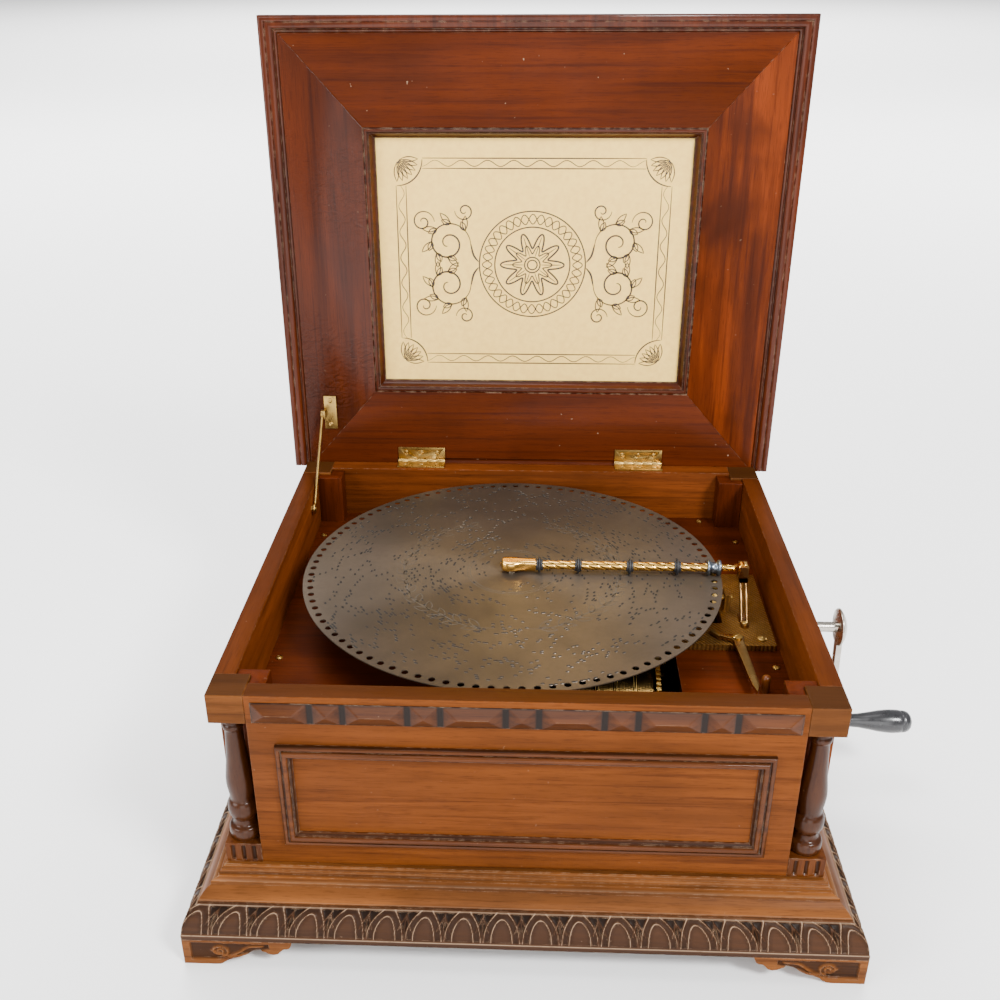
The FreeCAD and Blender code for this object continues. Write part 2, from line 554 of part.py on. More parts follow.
stay_y = "(hinge_y - stay_out)"
stay_z = "(hinge_z + stay_up)"
ear_x = ("stay_x + stay_thick / 2 + 0.2", "stay_x + stay_thick / 2 + 2.2")
plate = box("stay_plate_flat", (ear_x[0], ear_x[0] + " + plate_wide"),
            ("hinge_y - 0.5", "hinge_y + leaf_thick"),
            (stay_z + " - plate_long / 2", stay_z + " + plate_long / 2"))
ear = box("stay_plate_ear", ear_x, (stay_y + " - 4", "hinge_y - 0.5"), (stay_z + " - 5", stay_z + " + 5"))
stub = rod("stay_plate_stub", "X", "stay_x - stay_thick / 2", stay_y, stay_z,
           "stay_pin_radius", "stay_thick + 0.3")
keep(fuse("stay_plate", [plate, ear, stub]))

run_y = size("stay_pin_y") - (size("hinge_y") - size("stay_out"))
run_z = size("stay_pin_z") - (size("hinge_z") + size("stay_up"))
stay_angle = math.degrees(math.atan2(run_z, run_y))
stay_length = math.hypot(run_y, run_z)
half = size("stay_thick") / 2
blade = Part.makeBox(stay_length, size("stay_wide"), 2 * half, V(0, -size("stay_wide") / 2, -half))
eyes = [Part.makeCylinder(radius, 2 * half, V(reach, 0, -half))
        for reach, radius in ((0, 4.5), (stay_length, 5.5))]
slot_half = size("stay_pin_radius") + size("stay_slack")
slot = Part.makeBox(20, 2 * slot_half, 4 * half, V(0, -slot_half, -2 * half))
slot = slot.fuse(Part.makeCylinder(slot_half, 4 * half, V(0, 0, -2 * half)))
exit_angle = -16
slot.Placement = FreeCAD.Placement(V(stay_length, 0, 0), FreeCAD.Rotation(V(0, 0, 1), exit_angle - stay_angle))
stay_shape = blade.fuse(eyes).cut(slot)
stay_shape = stay_shape.cut(Part.makeCylinder(size("stay_pin_radius") + size("running"), 4 * half,
                                              V(0, 0, -2 * half)))
stay = doc.addObject("Part::Feature", "lid_stay")
stay.Shape = stay_shape
# The blade is drawn in a flat frame whose axes then become Y, Z and X.
flat_frame = FreeCAD.Matrix(0, 0, 1, 0, 1, 0, 0, 0, 0, 1, 0, 0, 0, 0, 0, 1)
stay.Placement = FreeCAD.Placement(V(size("stay_x"), size("hinge_y") - size("stay_out"),
                                     size("hinge_z") + size("stay_up")),
                                   FreeCAD.Rotation(V(1, 0, 0), stay_angle)
                                   .multiply(FreeCAD.Placement(flat_frame).Rotation))
keep(stay)
keep(fuse("stay_pin", [
    rod("stay_pin_body", "X", "-inner_x", "stay_pin_y", "stay_pin_z", "stay_pin_radius",
        "inner_x + stay_x + stay_thick / 2 + 0.4"),
    rod("stay_pin_collar", "X", "-inner_x", "stay_pin_y", "stay_pin_z", "2 * stay_pin_radius",
        "inner_x + stay_x - stay_thick / 2 - 0.3"),
]))

# Bedplate with the stands of the star wheels and of the sprocket shaft, and the comb's base.

bed = box("bed_flat", ("bed_left", "bed_right"), ("bed_front", "bed_back"), ("deck_top", "bed_top"))
comb_base = box("comb_base", ("star_left - 2", "star_right + 2"),
                ("disc_y - comb_front", "disc_y - comb_back"), ("bed_top", "star_z - comb_thick / 2"))
left_stand = box("star_stand_left", ("star_left - 8", "star_left - 4"), ("disc_y - 5", "disc_y + 5"),
                 ("bed_top", "star_z + 3"))
right_stand = box("star_stand_right", ("drive_x - 6", "drive_x - 2"), ("disc_y - 7", "disc_y + 7"),
                  ("bed_top", "star_z + 3"))
outer_x = "(ring_x + 12)"
outer_stand = box("sprocket_stand", (outer_x, outer_x + " + 6"), ("disc_y - 7", "disc_y + 7"),
                  ("bed_top", "sprocket_z + 6"))
lever_boss = rod("lever_boss", "Z", "lever_x", "lever_y + 2", "deck_top", "7", "bed_thick + lever_lift")
bed_solid = fuse("bed_solid", [bed, comb_base, left_stand, right_stand, outer_stand, lever_boss])
bed_tools = [
    box("bed_drive_slot", ("drive_x - 2", "ring_x + 8"),
        ("disc_y - sprocket_radius - slot_room", "disc_y + sprocket_radius + slot_room"),
        ("deck_top - 1", "bed_top + 1")),
    rod("bed_shaft_bore", "X", "drive_x - 8", "disc_y", "sprocket_z", "shaft_radius + running",
        "ring_x - drive_x + 45"),
    rod("bed_lever_hole", "Z", "lever_x", "lever_y", "deck_top - 1", "2", "bed_thick + lever_lift + 2"),
]
keep(cut("bedplate", bed_solid, bed_tools))
keep(rod("star_wheel_rod", "X", "star_left - 4", "disc_y", "star_z", "star_rod",
         "drive_x - 6 - star_left + 4"))


def star(x):
    """One star wheel of eight points, bored for its rod."""
    points = []
    for step in range(16):
        radius = size("star_radius") * (1 if step % 2 == 0 else 0.62)
        angle = math.pi * (step + 0.5) / 8
        points.append(V(x, size("disc_y") + radius * math.cos(angle), size("star_z") + radius * math.sin(angle)))
    solid = Part.Face(Part.makePolygon(points + points[:1])).extrude(V(size("star_thick"), 0, 0))
    return solid.cut(bar(x - 1, x + 4, size("disc_y"), size("star_z"), size("star_rod") + size("running")))


star_count = int(size("star_count"))
star_step = (size("star_right") - size("star_left")) / (star_count - 1)
stars = doc.addObject("Part::Feature", "star_wheels")
stars.Shape = Part.makeCompound([star(size("star_left") + star_step * index - size("star_thick") / 2)
                                 for index in range(star_count)])
stars.Placement = FreeCAD.Placement()
keep(stars)

tooth_back = "disc_y - star_radius - comb_gap"
teeth = [box(f"comb_tooth_{index}",
             (f"star_left + {star_step} * {index} - {star_step} * 0.36",
              f"star_left + {star_step} * {index} + {star_step} * 0.36"),
             ("disc_y - comb_back - 1", tooth_back),
             ("star_z - comb_thick / 2", "star_z + comb_thick / 2")) for index in range(star_count)]
heel = box("comb_heel", ("star_left - 2", "star_right + 2"), ("disc_y - comb_front", "disc_y - comb_back"),
           ("star_z - comb_thick / 2", "star_z + comb_thick / 2"))
keep(fuse("comb", [heel] + teeth))

# Disc on its spindle: a ring of round holes near the rim takes the sprocket's pins.

disc = doc.addObject("PartDesign::Body", "music_disc")
disc_sketch = disc.newObject("Sketcher::SketchObject", "disc_outline")
disc_sketch.AttachmentSupport = (plane_of(disc, "XY_Plane"), "")
disc_sketch.MapMode = "FlatFace"
disc_sketch.addGeometry(Part.Circle(V(), V(0, 0, 1), size("disc_radius")))
disc_sketch.addGeometry(Part.Circle(V(), V(0, 0, 1), size("spindle_radius")))
for circle, text in ((0, "disc_radius"), (1, "spindle_radius + running")):
    disc_sketch.addConstraint(Sketcher.Constraint("Coincident", circle, 3, -1, 1))
    index = disc_sketch.addConstraint(Sketcher.Constraint("Radius", circle, size("disc_radius") / (1 + circle)))
    disc_sketch.setExpression(f"Constraints[{index}]", bound(text))
disc_pad = disc.newObject("PartDesign::Pad", "disc_pad")
disc_pad.Profile = disc_sketch
disc_pad.setExpression("Length", bound("disc_thick"))
doc.recompute()
hole_sketch = disc.newObject("Sketcher::SketchObject", "disc_hole_outline")
hole_sketch.AttachmentSupport = (plane_of(disc, "XY_Plane"), "")
hole_sketch.MapMode = "FlatFace"
hole_sketch.addGeometry(Part.Circle(V(size("hole_ring"), 0, 0), V(0, 0, 1), size("disc_hole_radius")))
hole_sketch.addConstraint(Sketcher.Constraint("PointOnObject", 0, 3, -1))
wide = hole_sketch.addConstraint(Sketcher.Constraint("Radius", 0, size("disc_hole_radius")))
hole_sketch.setExpression(f"Constraints[{wide}]", bound("disc_hole_radius"))
out = hole_sketch.addConstraint(Sketcher.Constraint("DistanceX", -1, 1, 0, 3, size("hole_ring")))
hole_sketch.setExpression(f"Constraints[{out}]", bound("hole_ring"))
hole = disc.newObject("PartDesign::Pocket", "disc_hole")
hole.Profile = hole_sketch
hole.Type = "ThroughAll"
hole.Midplane = True
ring = disc.newObject("PartDesign::PolarPattern", "disc_hole_ring")
ring.Originals = [hole]
ring.Axis = (disc_sketch, ["N_Axis"])
ring.Angle = 360
ring.setExpression("Occurrences", bound("disc_holes"))
disc.Tip = ring
place(disc, "disc_x", "disc_y", "disc_low")
keep(disc)
keep(fuse("centre_spindle", [
    rod("spindle_post", "Z", "disc_x", "disc_y", "bed_top", "spindle_radius", "disc_top + 3 - bed_top"),
    rod("spindle_seat", "Z", "disc_x", "disc_y", "bed_top", "2 * spindle_radius + 1", "disc_low - bed_top"),
]))

# Hold-down arm: a head over the spindle, a long rod, four rollers and a grooved collar.

head_end = "roller_one - roller_thick / 2 - head_room"
head = prism("arm_head", "XY_Plane", [
    ("disc_x - 11", "disc_y - 4"), ("disc_x - 7", "disc_y - 8"), ("disc_x + 4", "disc_y - 8.5"),
    (head_end, "disc_y - 4.5"), (head_end, "disc_y + 4.5"), ("disc_x + 4", "disc_y + 8.5"),
    ("disc_x - 7", "disc_y + 8"), ("disc_x - 11", "disc_y + 4")], "disc_top + 3.4", "arm_z + 4.2")
arm_bar = rod("arm_bar", "X", "disc_x + 20", "disc_y", "arm_z", "arm_radius", "arm_pivot_x - 8 - disc_x - 20")
arm_neck = box("arm_neck", ("arm_pivot_x - 10", "arm_pivot_x"),
               ("disc_y - yoke_gap / 2 + 0.2", "disc_y + yoke_gap / 2 - 0.2"), ("arm_z - 3.5", "arm_z + 3.5"))
arm_eye = rod("arm_eye", "Y", "arm_pivot_x", "disc_y - yoke_gap / 2 + 0.2", "arm_z", "5.5", "yoke_gap - 0.4")
arm_bore = rod("arm_bore", "Y", "arm_pivot_x", "disc_y - 10", "arm_z", "arm_pin + running", "20")
keep(cut("hold_down_arm", fuse("arm_solid", [head, arm_bar, arm_neck, arm_eye]), [arm_bore]))
for label, at in (("arm_roller_1", "roller_one"), ("arm_roller_2", "roller_two"),
                  ("arm_roller_3", "roller_three"), ("arm_roller_4", "roller_four")):
    keep(cut(label, rod(label + "_blank", "X", f"{at} - roller_thick / 2", "disc_y", "arm_z",
                        "roller_radius", "roller_thick"),
             [rod(label + "_bore", "X", f"{at} - 5", "disc_y", "arm_z", "arm_radius + running", "10")]))
collar_x = "ring_x"
keep(cut("arm_collar", fuse("collar_solid", [
    rod("collar_waist", "X", collar_x + " - collar_wide / 2", "disc_y", "arm_z", "arm_radius + 1", "collar_wide"),
    rod("collar_inner", "X", collar_x + " - collar_wide / 2", "disc_y", "arm_z", "roller_radius", "collar_flange"),
    rod("collar_outer", "X", collar_x + " + collar_wide / 2 - collar_flange", "disc_y", "arm_z",
        "roller_radius", "collar_flange")]),
    [rod("collar_bore", "X", collar_x + " - collar_wide", "disc_y", "arm_z", "arm_radius + running",
         "2 * collar_wide")]))

yoke_x = ("arm_pivot_x - 4", "arm_pivot_x + 4")
ears = [box(f"yoke_ear_{name}", yoke_x, limits, ("arm_z - 9", "arm_z + 4")) for name, limits in (
    ("front", ("disc_y - yoke_gap / 2 - yoke_wall", "disc_y - yoke_gap / 2")),
    ("back", ("disc_y + yoke_gap / 2", "disc_y + yoke_gap / 2 + yoke_wall")))]
yoke_floor = box("yoke_floor", yoke_x, ("disc_y - yoke_gap / 2 - yoke_wall", "disc_y + yoke_gap / 2 + yoke_wall"),
                 ("arm_z - 12", "arm_z - 7"))
strut = prism("arm_strut", "YZ_Plane", [
    ("disc_y - 37", "bed_top"), ("disc_y - 14", "bed_top"), ("disc_y - 14", "bed_top + 3"),
    ("disc_y - 18", "bed_top + 3"), ("disc_y + 6.8", "arm_z - 12"), ("disc_y - 6.8", "arm_z - 11"),
    ("disc_y - 28", "bed_top + 3"), ("disc_y - 37", "bed_top + 3")], "arm_pivot_x - 4", "arm_pivot_x + 4")
arm_pin = rod("arm_pin_bar", "Y", "arm_pivot_x", "disc_y - yoke_gap / 2 - yoke_wall", "arm_z", "arm_pin",
              "yoke_gap + 2 * yoke_wall")
keep(fuse("arm_bracket", ears + [yoke_floor, strut, arm_pin]))

# Start lever: a bell crank on the bedplate whose long arm reaches the front.

lever_plate = prism("lever_plate", "XY_Plane", [
    ("lever_x - 4.5", "lever_y - 2"), ("lever_x + 1", "lever_y - lever_reach + 12"),
    ("lever_x + 4", "lever_y - lever_reach"), ("lever_x + 7.5", "lever_y - lever_reach + 12"),
    ("lever_x + 4.5", "lever_y - 2"), ("lever_x + 4", "lever_y + 4"), ("lever_x - 4", "lever_y + 5"),
    ("lever_x - 14", "lever_y + 8"), ("lever_x - 20", "lever_y + 14"), ("lever_x - 24", "lever_y + 11"),
    ("lever_x - 17", "lever_y + 3")], "bed_top + lever_lift + 0.2", "bed_top + lever_lift + 0.2 + lever_thick")
lever_eye = rod("lever_eye", "Z", "lever_x", "lever_y", "bed_top + lever_lift + 0.2", "6", "lever_thick")
keep(cut("start_lever", fuse("lever_solid", [lever_plate, lever_eye]), [
    rod("lever_bore", "Z", "lever_x", "lever_y", "bed_top", "2 + running", "20")]))
keep(rod("stop_peg", "Z", "peg_x", "peg_y", "deck_top", "peg_radius", "peg_height"))

# Spring motor and winding train, hung from the deck on three plates.

thick = size("gear_thick")
clear = size("running")
shaft = size("shaft_radius")
arbor = size("arbor_radius")

left, right = size("barrel_left"), size("barrel_right")
wall = size("barrel_wall")
drum = bar(left, right, *barrel_at, size("barrel_radius"))
drum = drum.cut(bar(left + wall, right - wall, *barrel_at, size("barrel_radius") - wall))
rings = [bar(left + share * (right - left), left + share * (right - left) + 3, *barrel_at,
             size("barrel_radius") + 1.5).cut(bar(left, right, *barrel_at, size("barrel_radius") - wall))
         for share in (0, 0.24, 0.48, 0.72)]
great_phase = bearing(barrel_at, lay_at)
great_wheel = toothed(great, right, *barrel_at, 4, great_phase)
barrel_hole = bar(left - 5, right + 10, *barrel_at, arbor + clear)
wheelwork("spring_barrel", [drum, great_wheel] + rings, [barrel_hole])
spring = bar(left + wall + 1, right - wall - 1, *barrel_at, size("barrel_radius") - wall - 0.3)
wheelwork("mainspring", [spring], [bar(left, right, *barrel_at, arbor + 8)])

wind_x = size("wind_x")
wind_phase = bearing(barrel_at, idler_at)
wheelwork("barrel_arbor", [bar(size("plate_one_x") - 4, wind_x + thick + 2, *barrel_at, arbor),
                           toothed(wind, wind_x, *barrel_at, thick, wind_phase)])
idler_phase = wind_phase + 180 + 180 / idler_teeth
wheelwork("winding_idler", [toothed(idler_teeth, wind_x, *idler_at, thick, idler_phase)],
          [bar(wind_x - 1, wind_x + thick + 1, *idler_at, shaft + clear)])
toward_crank = bearing(idler_at, crank_at)
turns_past = (toward_crank - idler_phase) * idler_teeth / 360
crank_phase = toward_crank + 180 + (0.5 + turns_past) * 360 / crank_teeth
crank_end = size("crank_x")
crank_half = size("arm_thick") / 2
wheelwork("crank_shaft", [bar(size("plate_three_x") - 2, crank_end - crank_half, *crank_at, arbor),
                          toothed(crank_teeth, wind_x, *crank_at, thick, crank_phase)])

drive_x = size("drive_x")
lay_phase = bearing(lay_at, sprocket_at)
pinion_phase = great_phase + 180 + 180 / pinion
governor_x = size("governor_x")
wheelwork("layshaft", [bar(size("plate_one_x") - 4, drive_x + thick + 2, *lay_at, shaft),
                       toothed(pinion, right - 1, *lay_at, thick, pinion_phase),
                       toothed(lay, drive_x, *lay_at, thick, lay_phase),
                       toothed(governor, governor_x - 3, *lay_at, thick, 0)])
small_phase = lay_phase + 180 + 180 / small
pin_circle = size("sprocket_radius")
sprocket_x = size("ring_x")
pins = []
for index in range(int(size("sprocket_pins"))):
    angle = math.pi / 2 + 2 * math.pi * index / size("sprocket_pins")
    reach = V(0, math.cos(angle), math.sin(angle))
    pins.append(Part.makeCylinder(size("pin_thick"), 8,
                                  V(sprocket_x, *sprocket_at) + reach * (pin_circle - 5.5), reach))
wheelwork("drive_sprocket", [bar(drive_x - 8, sprocket_x + 20, *sprocket_at, shaft),
                             toothed(small, drive_x, *sprocket_at, thick, small_phase),
                             bar(sprocket_x - 2, sprocket_x + 2, *sprocket_at, pin_circle - 1)] + pins)

worm_y = lay_at[0] + module * (governor / 2 + 1) + size("worm_radius") + size("worm_gap")
worm_z = lay_at[1]
worm_half, fly_shaft = size("worm_half"), size("worm_shaft")
fly_wide, fly_thick, fly_foot = size("fly_wide"), size("fly_thick"), worm_z - size("fly_drop")
worm_parts = [Part.makeCylinder(size("worm_radius"), 2 * worm_half, V(governor_x, worm_y, worm_z - worm_half)),
              Part.makeCylinder(fly_shaft, deck_low - size("shaft_end_room") - fly_foot,
                                V(governor_x, worm_y, fly_foot)),
              Part.makeBox(fly_wide, fly_thick, size("fly_tall"),
                           V(governor_x - fly_wide / 2, worm_y - fly_thick / 2, fly_foot + size("fly_end")))]
wheelwork("governor_fly", worm_parts)

plates = []
plate_thick, flange_wide = size("plate_thick"), size("flange_wide")
low_y = size("barrel_y") - size("plate_front_out")
both = ((barrel_at, arbor), (lay_at, shaft))
for start, high_y, low_z, holes in (
        (size("plate_one_x"), size("plate_one_back"), size("plate_low"), both),
        (size("plate_two_x"), size("plate_two_back"), size("plate_two_low"), both),
        (size("plate_three_x"), size("plate_three_back"), size("plate_low"),
         ((barrel_at, arbor), (crank_at, arbor)))):
    solid = Part.makeBox(plate_thick, high_y - low_y, deck_low - low_z, V(start, low_y, low_z))
    flange = Part.makeBox(flange_wide, high_y - low_y, plate_thick,
                          V(start - flange_wide, low_y, deck_low - plate_thick))
    if start == size("plate_three_x"):
        solid = solid.fuse(bar(start, wind_x + thick + 2, *idler_at, shaft))
    if start == size("plate_two_x"):
        for height in (worm_z - size("lug_drop"), deck_low - size("lug_room")):
            lug = Part.makeBox(start - governor_x + 3 * fly_shaft, 6 * fly_shaft, plate_thick,
                               V(governor_x - 3 * fly_shaft, worm_y - 3 * fly_shaft, height))
            solid = solid.fuse(lug.cut(Part.makeCylinder(fly_shaft + clear, 2 * plate_thick,
                                                         V(governor_x, worm_y, height - fly_shaft))))
    solid = solid.fuse(flange)
    for centre, radius in holes:
        solid = solid.cut(bar(start - flange_wide - 1, start + plate_thick + 1, *centre, radius + clear))
    if start == size("plate_two_x"):
        solid = solid.cut(Part.makeCylinder(fly_shaft + clear, deck_low, V(governor_x, worm_y, 0)))
    plates.append(solid)
frame = doc.addObject("Part::Feature", "motor_plates")
frame.Shape = Part.makeCompound(plates)
frame.Placement = FreeCAD.Placement()
keep(frame)

# Crank: a bush in the side of the case, an arm with a domed hub, and a turned grip.

keep(cut("crank_bush", fuse("bush_solid", [
    rod("bush_tube", "X", "inner_x", "crank_y", "crank_z", "arbor_radius + 3", "wall"),
    rod("bush_flange", "X", "case_x", "crank_y", "crank_z", "arbor_radius + 8", "3")]),
    [rod("bush_bore", "X", "inner_x - 5", "crank_y", "crank_z", "arbor_radius + running", "wall + 20")]))
hub = Part.makeCylinder(size("hub_radius"), 3, V(crank_end - crank_half, *crank_at), V(1, 0, 0))
dome_rise = size("hub_thick") - 3
dome_ball = (size("hub_radius") ** 2 + dome_rise ** 2) / (2 * dome_rise)
ball = Part.makeSphere(dome_ball, V(crank_end - crank_half + 3 + dome_rise - dome_ball, *crank_at))
dome = ball.common(Part.makeCylinder(size("hub_radius"), dome_rise, V(crank_end - crank_half + 3, *crank_at),
                                     V(1, 0, 0)))
grip_at = (size("crank_y_grip"), size("crank_z_grip"))
arm_tilt = bearing(crank_at, grip_at)
throw = math.hypot(grip_at[0] - crank_at[0], grip_at[1] - crank_at[1])
blade = Part.makeBox(throw, 11, size("arm_thick"), V(0, -5.5, 0))
blade.Placement = FreeCAD.Placement(V(crank_end - crank_half, *crank_at),
                                    FreeCAD.Rotation(V(1, 0, 0), arm_tilt)
                                    .multiply(FreeCAD.Placement(flat_frame).Rotation))
grip_start = crank_end + crank_half
boss = Part.makeCylinder(8, size("arm_thick"), V(crank_end - crank_half, *grip_at), V(1, 0, 0))
grip_pin = bar(crank_end, grip_start + size("grip_length") - 8, *grip_at, size("grip_pin"))
wheelwork("crank_arm", [hub, dome, blade, boss, grip_pin])

# Grip outline: share of its length, share of its greatest radius beyond the neck.
GRIP_CURVE = ((0, 0), (0.2, 0.05), (0.35, 0.25), (0.5, 0.6), (0.65, 0.9), (0.76, 1), (0.87, 0.85),
              (0.95, 0.4), (1, -0.4))
grip_profile = [("grip_pin + running", "0.3")]
grip_profile += [(f"grip_neck + {rise} * (grip_radius - grip_neck)", f"0.3 + {along} * grip_length")
                 for along, rise in GRIP_CURVE]
grip_profile += [("grip_pin + running", "0.3 + grip_length")]
grip = turned("crank_grip", grip_profile)
place(grip, "crank_x + arm_thick / 2", "crank_y_grip", "crank_z_grip", ABOUT_X)
keep(grip)

# Screws with round heads, in one group for the case and one for the lid.

DECK_SCREWS = [(f"{sign} * (inner_x - deck_screw_{name})", y) for sign in (1, -1) for name, y in (
    ("x", "inner_y - deck_screw_y"), ("in", "case_y - deck_screw_back"), ("in", "deck_screw_front - case_y"))]
case_screws += [rod(f"screw_deck_{index}", "Z", x, y, "deck_top", "deck_screw_radius", "2")
                for index, (x, y) in enumerate(DECK_SCREWS)]
BED_SCREWS = [("bed_right - bed_screw_in", "bed_front + 10"), ("bed_right - bed_screw_in", "bed_back - bed_screw_in"),
              ("bed_left + bed_screw_in", "bed_back - bed_screw_in")]
case_screws += [rod(f"screw_bed_{index}", "Z", x, y, "bed_top", "bed_screw_radius", "2.5")
                for index, (x, y) in enumerate(BED_SCREWS)]
lever_top = "bed_thick + lever_lift + lever_thick + 0.4"
case_screws.append(rod("screw_lever_pin", "Z", "lever_x", "lever_y", "deck_top", "2", lever_top))
case_screws.append(rod("screw_lever", "Z", "lever_x", "lever_y", "deck_top + " + lever_top, "4.5", "2"))
case_screws.append(rod("screw_strut", "Z", "arm_pivot_x", "disc_y - 33", "bed_top + 3", "3", "2"))
for step in (-1, 1):
    lid_screws.append(rod(f"screw_stay_{step + 1}", "Y", ear_x[0] + " + plate_wide / 2", "hinge_y - 1.7",
                          f"{stay_z} + {step} * plate_long * 0.36", "2.4", "1.2"))
keep(group("case_screws", case_screws))
keep(group("lid_screws", lid_screws))

# Check every object and write the pieces.

doc.recompute()
bad = [thing.Name for thing in doc.Objects if "Invalid" in thing.State or "Error" in thing.State]
if bad:
    raise RuntimeError("failed objects: " + ", ".join(bad))
os.makedirs("parts", exist_ok=True)
right_end = size("crank_x") + size("arm_thick") / 2 + 0.3 + size("grip_length")
to_middle = V((size("base_x") - right_end) / 2, 0, 0)
for thing in NODES:
    if thing.Shape.isNull() or not thing.Shape.isValid() or not thing.Shape.Solids:
        raise RuntimeError("no valid solid in " + thing.Label)
    thing.Shape.translated(to_middle).exportStep(f"parts/{thing.Label}.step")
    print(thing.Label, len(thing.Shape.Solids), round(thing.Shape.Volume))
print(len(NODES), "pieces written")
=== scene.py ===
"""Finishes of a disc music box: a carved walnut case with its lid open, brass and steel works."""
import json
import math

import bmesh
import bpy
import numpy as np
from bpy.props import FloatProperty, FloatVectorProperty, IntProperty, PointerProperty
from bpy.types import Operator, Panel, PropertyGroup
from mathutils import Matrix, Vector

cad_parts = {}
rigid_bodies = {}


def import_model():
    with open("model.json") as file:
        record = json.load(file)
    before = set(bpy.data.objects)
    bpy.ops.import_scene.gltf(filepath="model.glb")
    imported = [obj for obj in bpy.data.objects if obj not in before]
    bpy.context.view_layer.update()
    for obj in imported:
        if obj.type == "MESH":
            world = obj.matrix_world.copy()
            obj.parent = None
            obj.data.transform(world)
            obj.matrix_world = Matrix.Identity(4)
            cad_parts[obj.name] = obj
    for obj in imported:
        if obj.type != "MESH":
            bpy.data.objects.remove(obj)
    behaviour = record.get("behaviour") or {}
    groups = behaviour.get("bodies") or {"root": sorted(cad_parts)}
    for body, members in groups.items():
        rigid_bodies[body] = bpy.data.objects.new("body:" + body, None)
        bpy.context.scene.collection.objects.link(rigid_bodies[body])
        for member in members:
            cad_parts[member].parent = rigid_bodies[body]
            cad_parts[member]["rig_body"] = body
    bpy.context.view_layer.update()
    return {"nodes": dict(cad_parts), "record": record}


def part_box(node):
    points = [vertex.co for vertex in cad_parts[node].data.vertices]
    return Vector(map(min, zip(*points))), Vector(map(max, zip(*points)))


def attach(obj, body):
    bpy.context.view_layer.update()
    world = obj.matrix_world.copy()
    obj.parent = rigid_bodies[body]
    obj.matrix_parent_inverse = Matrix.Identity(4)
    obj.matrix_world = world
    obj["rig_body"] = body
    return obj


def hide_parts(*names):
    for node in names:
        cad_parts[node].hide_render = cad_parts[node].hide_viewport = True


bl_info = {
    "name": "Disc Music Box",
    "version": (1, 0, 0),
    "blender": (4, 5, 0),
    "location": "View3D > Sidebar > Music Box",
    "description": "Builds the carved case, lid, disc and works of a disc music box on its frame",
    "category": "Object",
}

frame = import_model()
MM = 0.001
# Where the camera stands from the case's middle, in metres, and how far its lens is shifted.
CAMERA_PLACE = (0.0029, -0.9342, 0.770)
LENS_SHIFT = (0.0147, 0.0242)


def corners(node):
    """The lowest and highest corners of a node of the frame, in millimetres."""
    low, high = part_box(node)
    return np.array(low) / MM, np.array(high) / MM


def middle(node):
    """The middle of a node's box, in millimetres."""
    low, high = corners(node)
    return (low + high) / 2


# Sizes and colours that a user may change


def colour(name, about, value):
    """A colour property with its default."""
    return FloatVectorProperty(name=name, description=about, subtype="COLOR", size=3, min=0, max=1,
                               default=value)


def amount(name, about, value, low=0.0, high=1.0):
    """A plain number property with its default."""
    return FloatProperty(name=name, description=about, default=value, min=low, max=high)


def length(name, about, value):
    """A length property in metres with its default."""
    return FloatProperty(name=name, description=about, default=value, min=0, unit="LENGTH")


def power(name, about, value):
    """The power of a light, with its default."""
    return FloatProperty(name=name, description=about, default=value, min=0, unit="POWER")


def angle(name, about, value):
    """An angle of the camera, with its default in degrees."""
    return FloatProperty(name=name, description=about, subtype="ANGLE", default=math.radians(value))


class WalnutLooks(PropertyGroup):
    warm: colour("Warm", "Sunlit brown of the front boards", (0.1, 0.027, 0.0045))
    red: colour("Red", "Red brown of the lid and the inside", (0.06, 0.0098, 0.001))
    dark: colour("Dark", "Dark streaks of the grain", (0.012, 0.002, 0.0008))
    carved: colour("Carved", "Grey brown of the carved parts", (0.034, 0.017, 0.01))
    worn: colour("Worn", "Bare wood at rubbed edges", (0.36, 0.24, 0.15))
    gloss: amount("Varnish", "How much of a clear coat the varnish has", 0.03)
    wear: amount("Wear", "How much of the edges is rubbed", 0.5)


class MetalLooks(PropertyGroup):
    brass: colour("Brass", "Hinges, stay, lever and screws", (0.72, 0.5, 0.2))
    aged: colour("Aged brass", "Start lever and spring barrel", (0.4, 0.235, 0.07))
    gold: colour("Gold", "Head and rod of the hold-down arm", (0.9, 0.52, 0.12))
    bronze: colour("Bronze", "Paint of the bedplate", (0.39, 0.19, 0.046))
    steel: colour("Steel", "Polished pins and comb", (0.62, 0.55, 0.44))
    strut: colour("Strut", "Warm polished strut of the arm", (0.36, 0.2, 0.075))
    zinc: colour("Zinc", "Dull metal of the disc", (0.112, 0.086, 0.063))
    nickel: colour("Nickel", "Plating of the crank", (0.5, 0.46, 0.4))
    blued: colour("Blued", "Blued steel of the grooved collar", (0.2, 0.23, 0.27))
    black: colour("Black", "Rollers and grip", (0.012, 0.012, 0.014))


class CarvingSizes(PropertyGroup):
    eggs: IntProperty(name="Eggs", description="Eggs across the front band", default=17, min=3)
    egg_depth: length("Egg depth", "Depth of the carved egg band", 0.0022)
    scroll_depth: length("Scroll depth", "Depth of the carving on the feet", 0.0018)
    rail_groups: IntProperty(name="Groups", description="Pairs of notches on the rail", default=5, min=1)


class PictureLooks(PropertyGroup):
    board: colour("Board", "Cream board in the lid", (1.0, 0.63, 0.165))
    ink: colour("Ink", "Brown ink of the ornament", (0.03, 0.017, 0.012))
    line: length("Line", "Width of an ink line", 0.0011)


class DiscLooks(PropertyGroup):
    phrases: IntProperty(name="Phrases", description="Runs of punched notes", default=420, min=1)
    slit: length("Slit", "Length of a punched slit", 0.004)
    raised: length("Raised", "Height of the edge that a punch leaves", 0.00022)


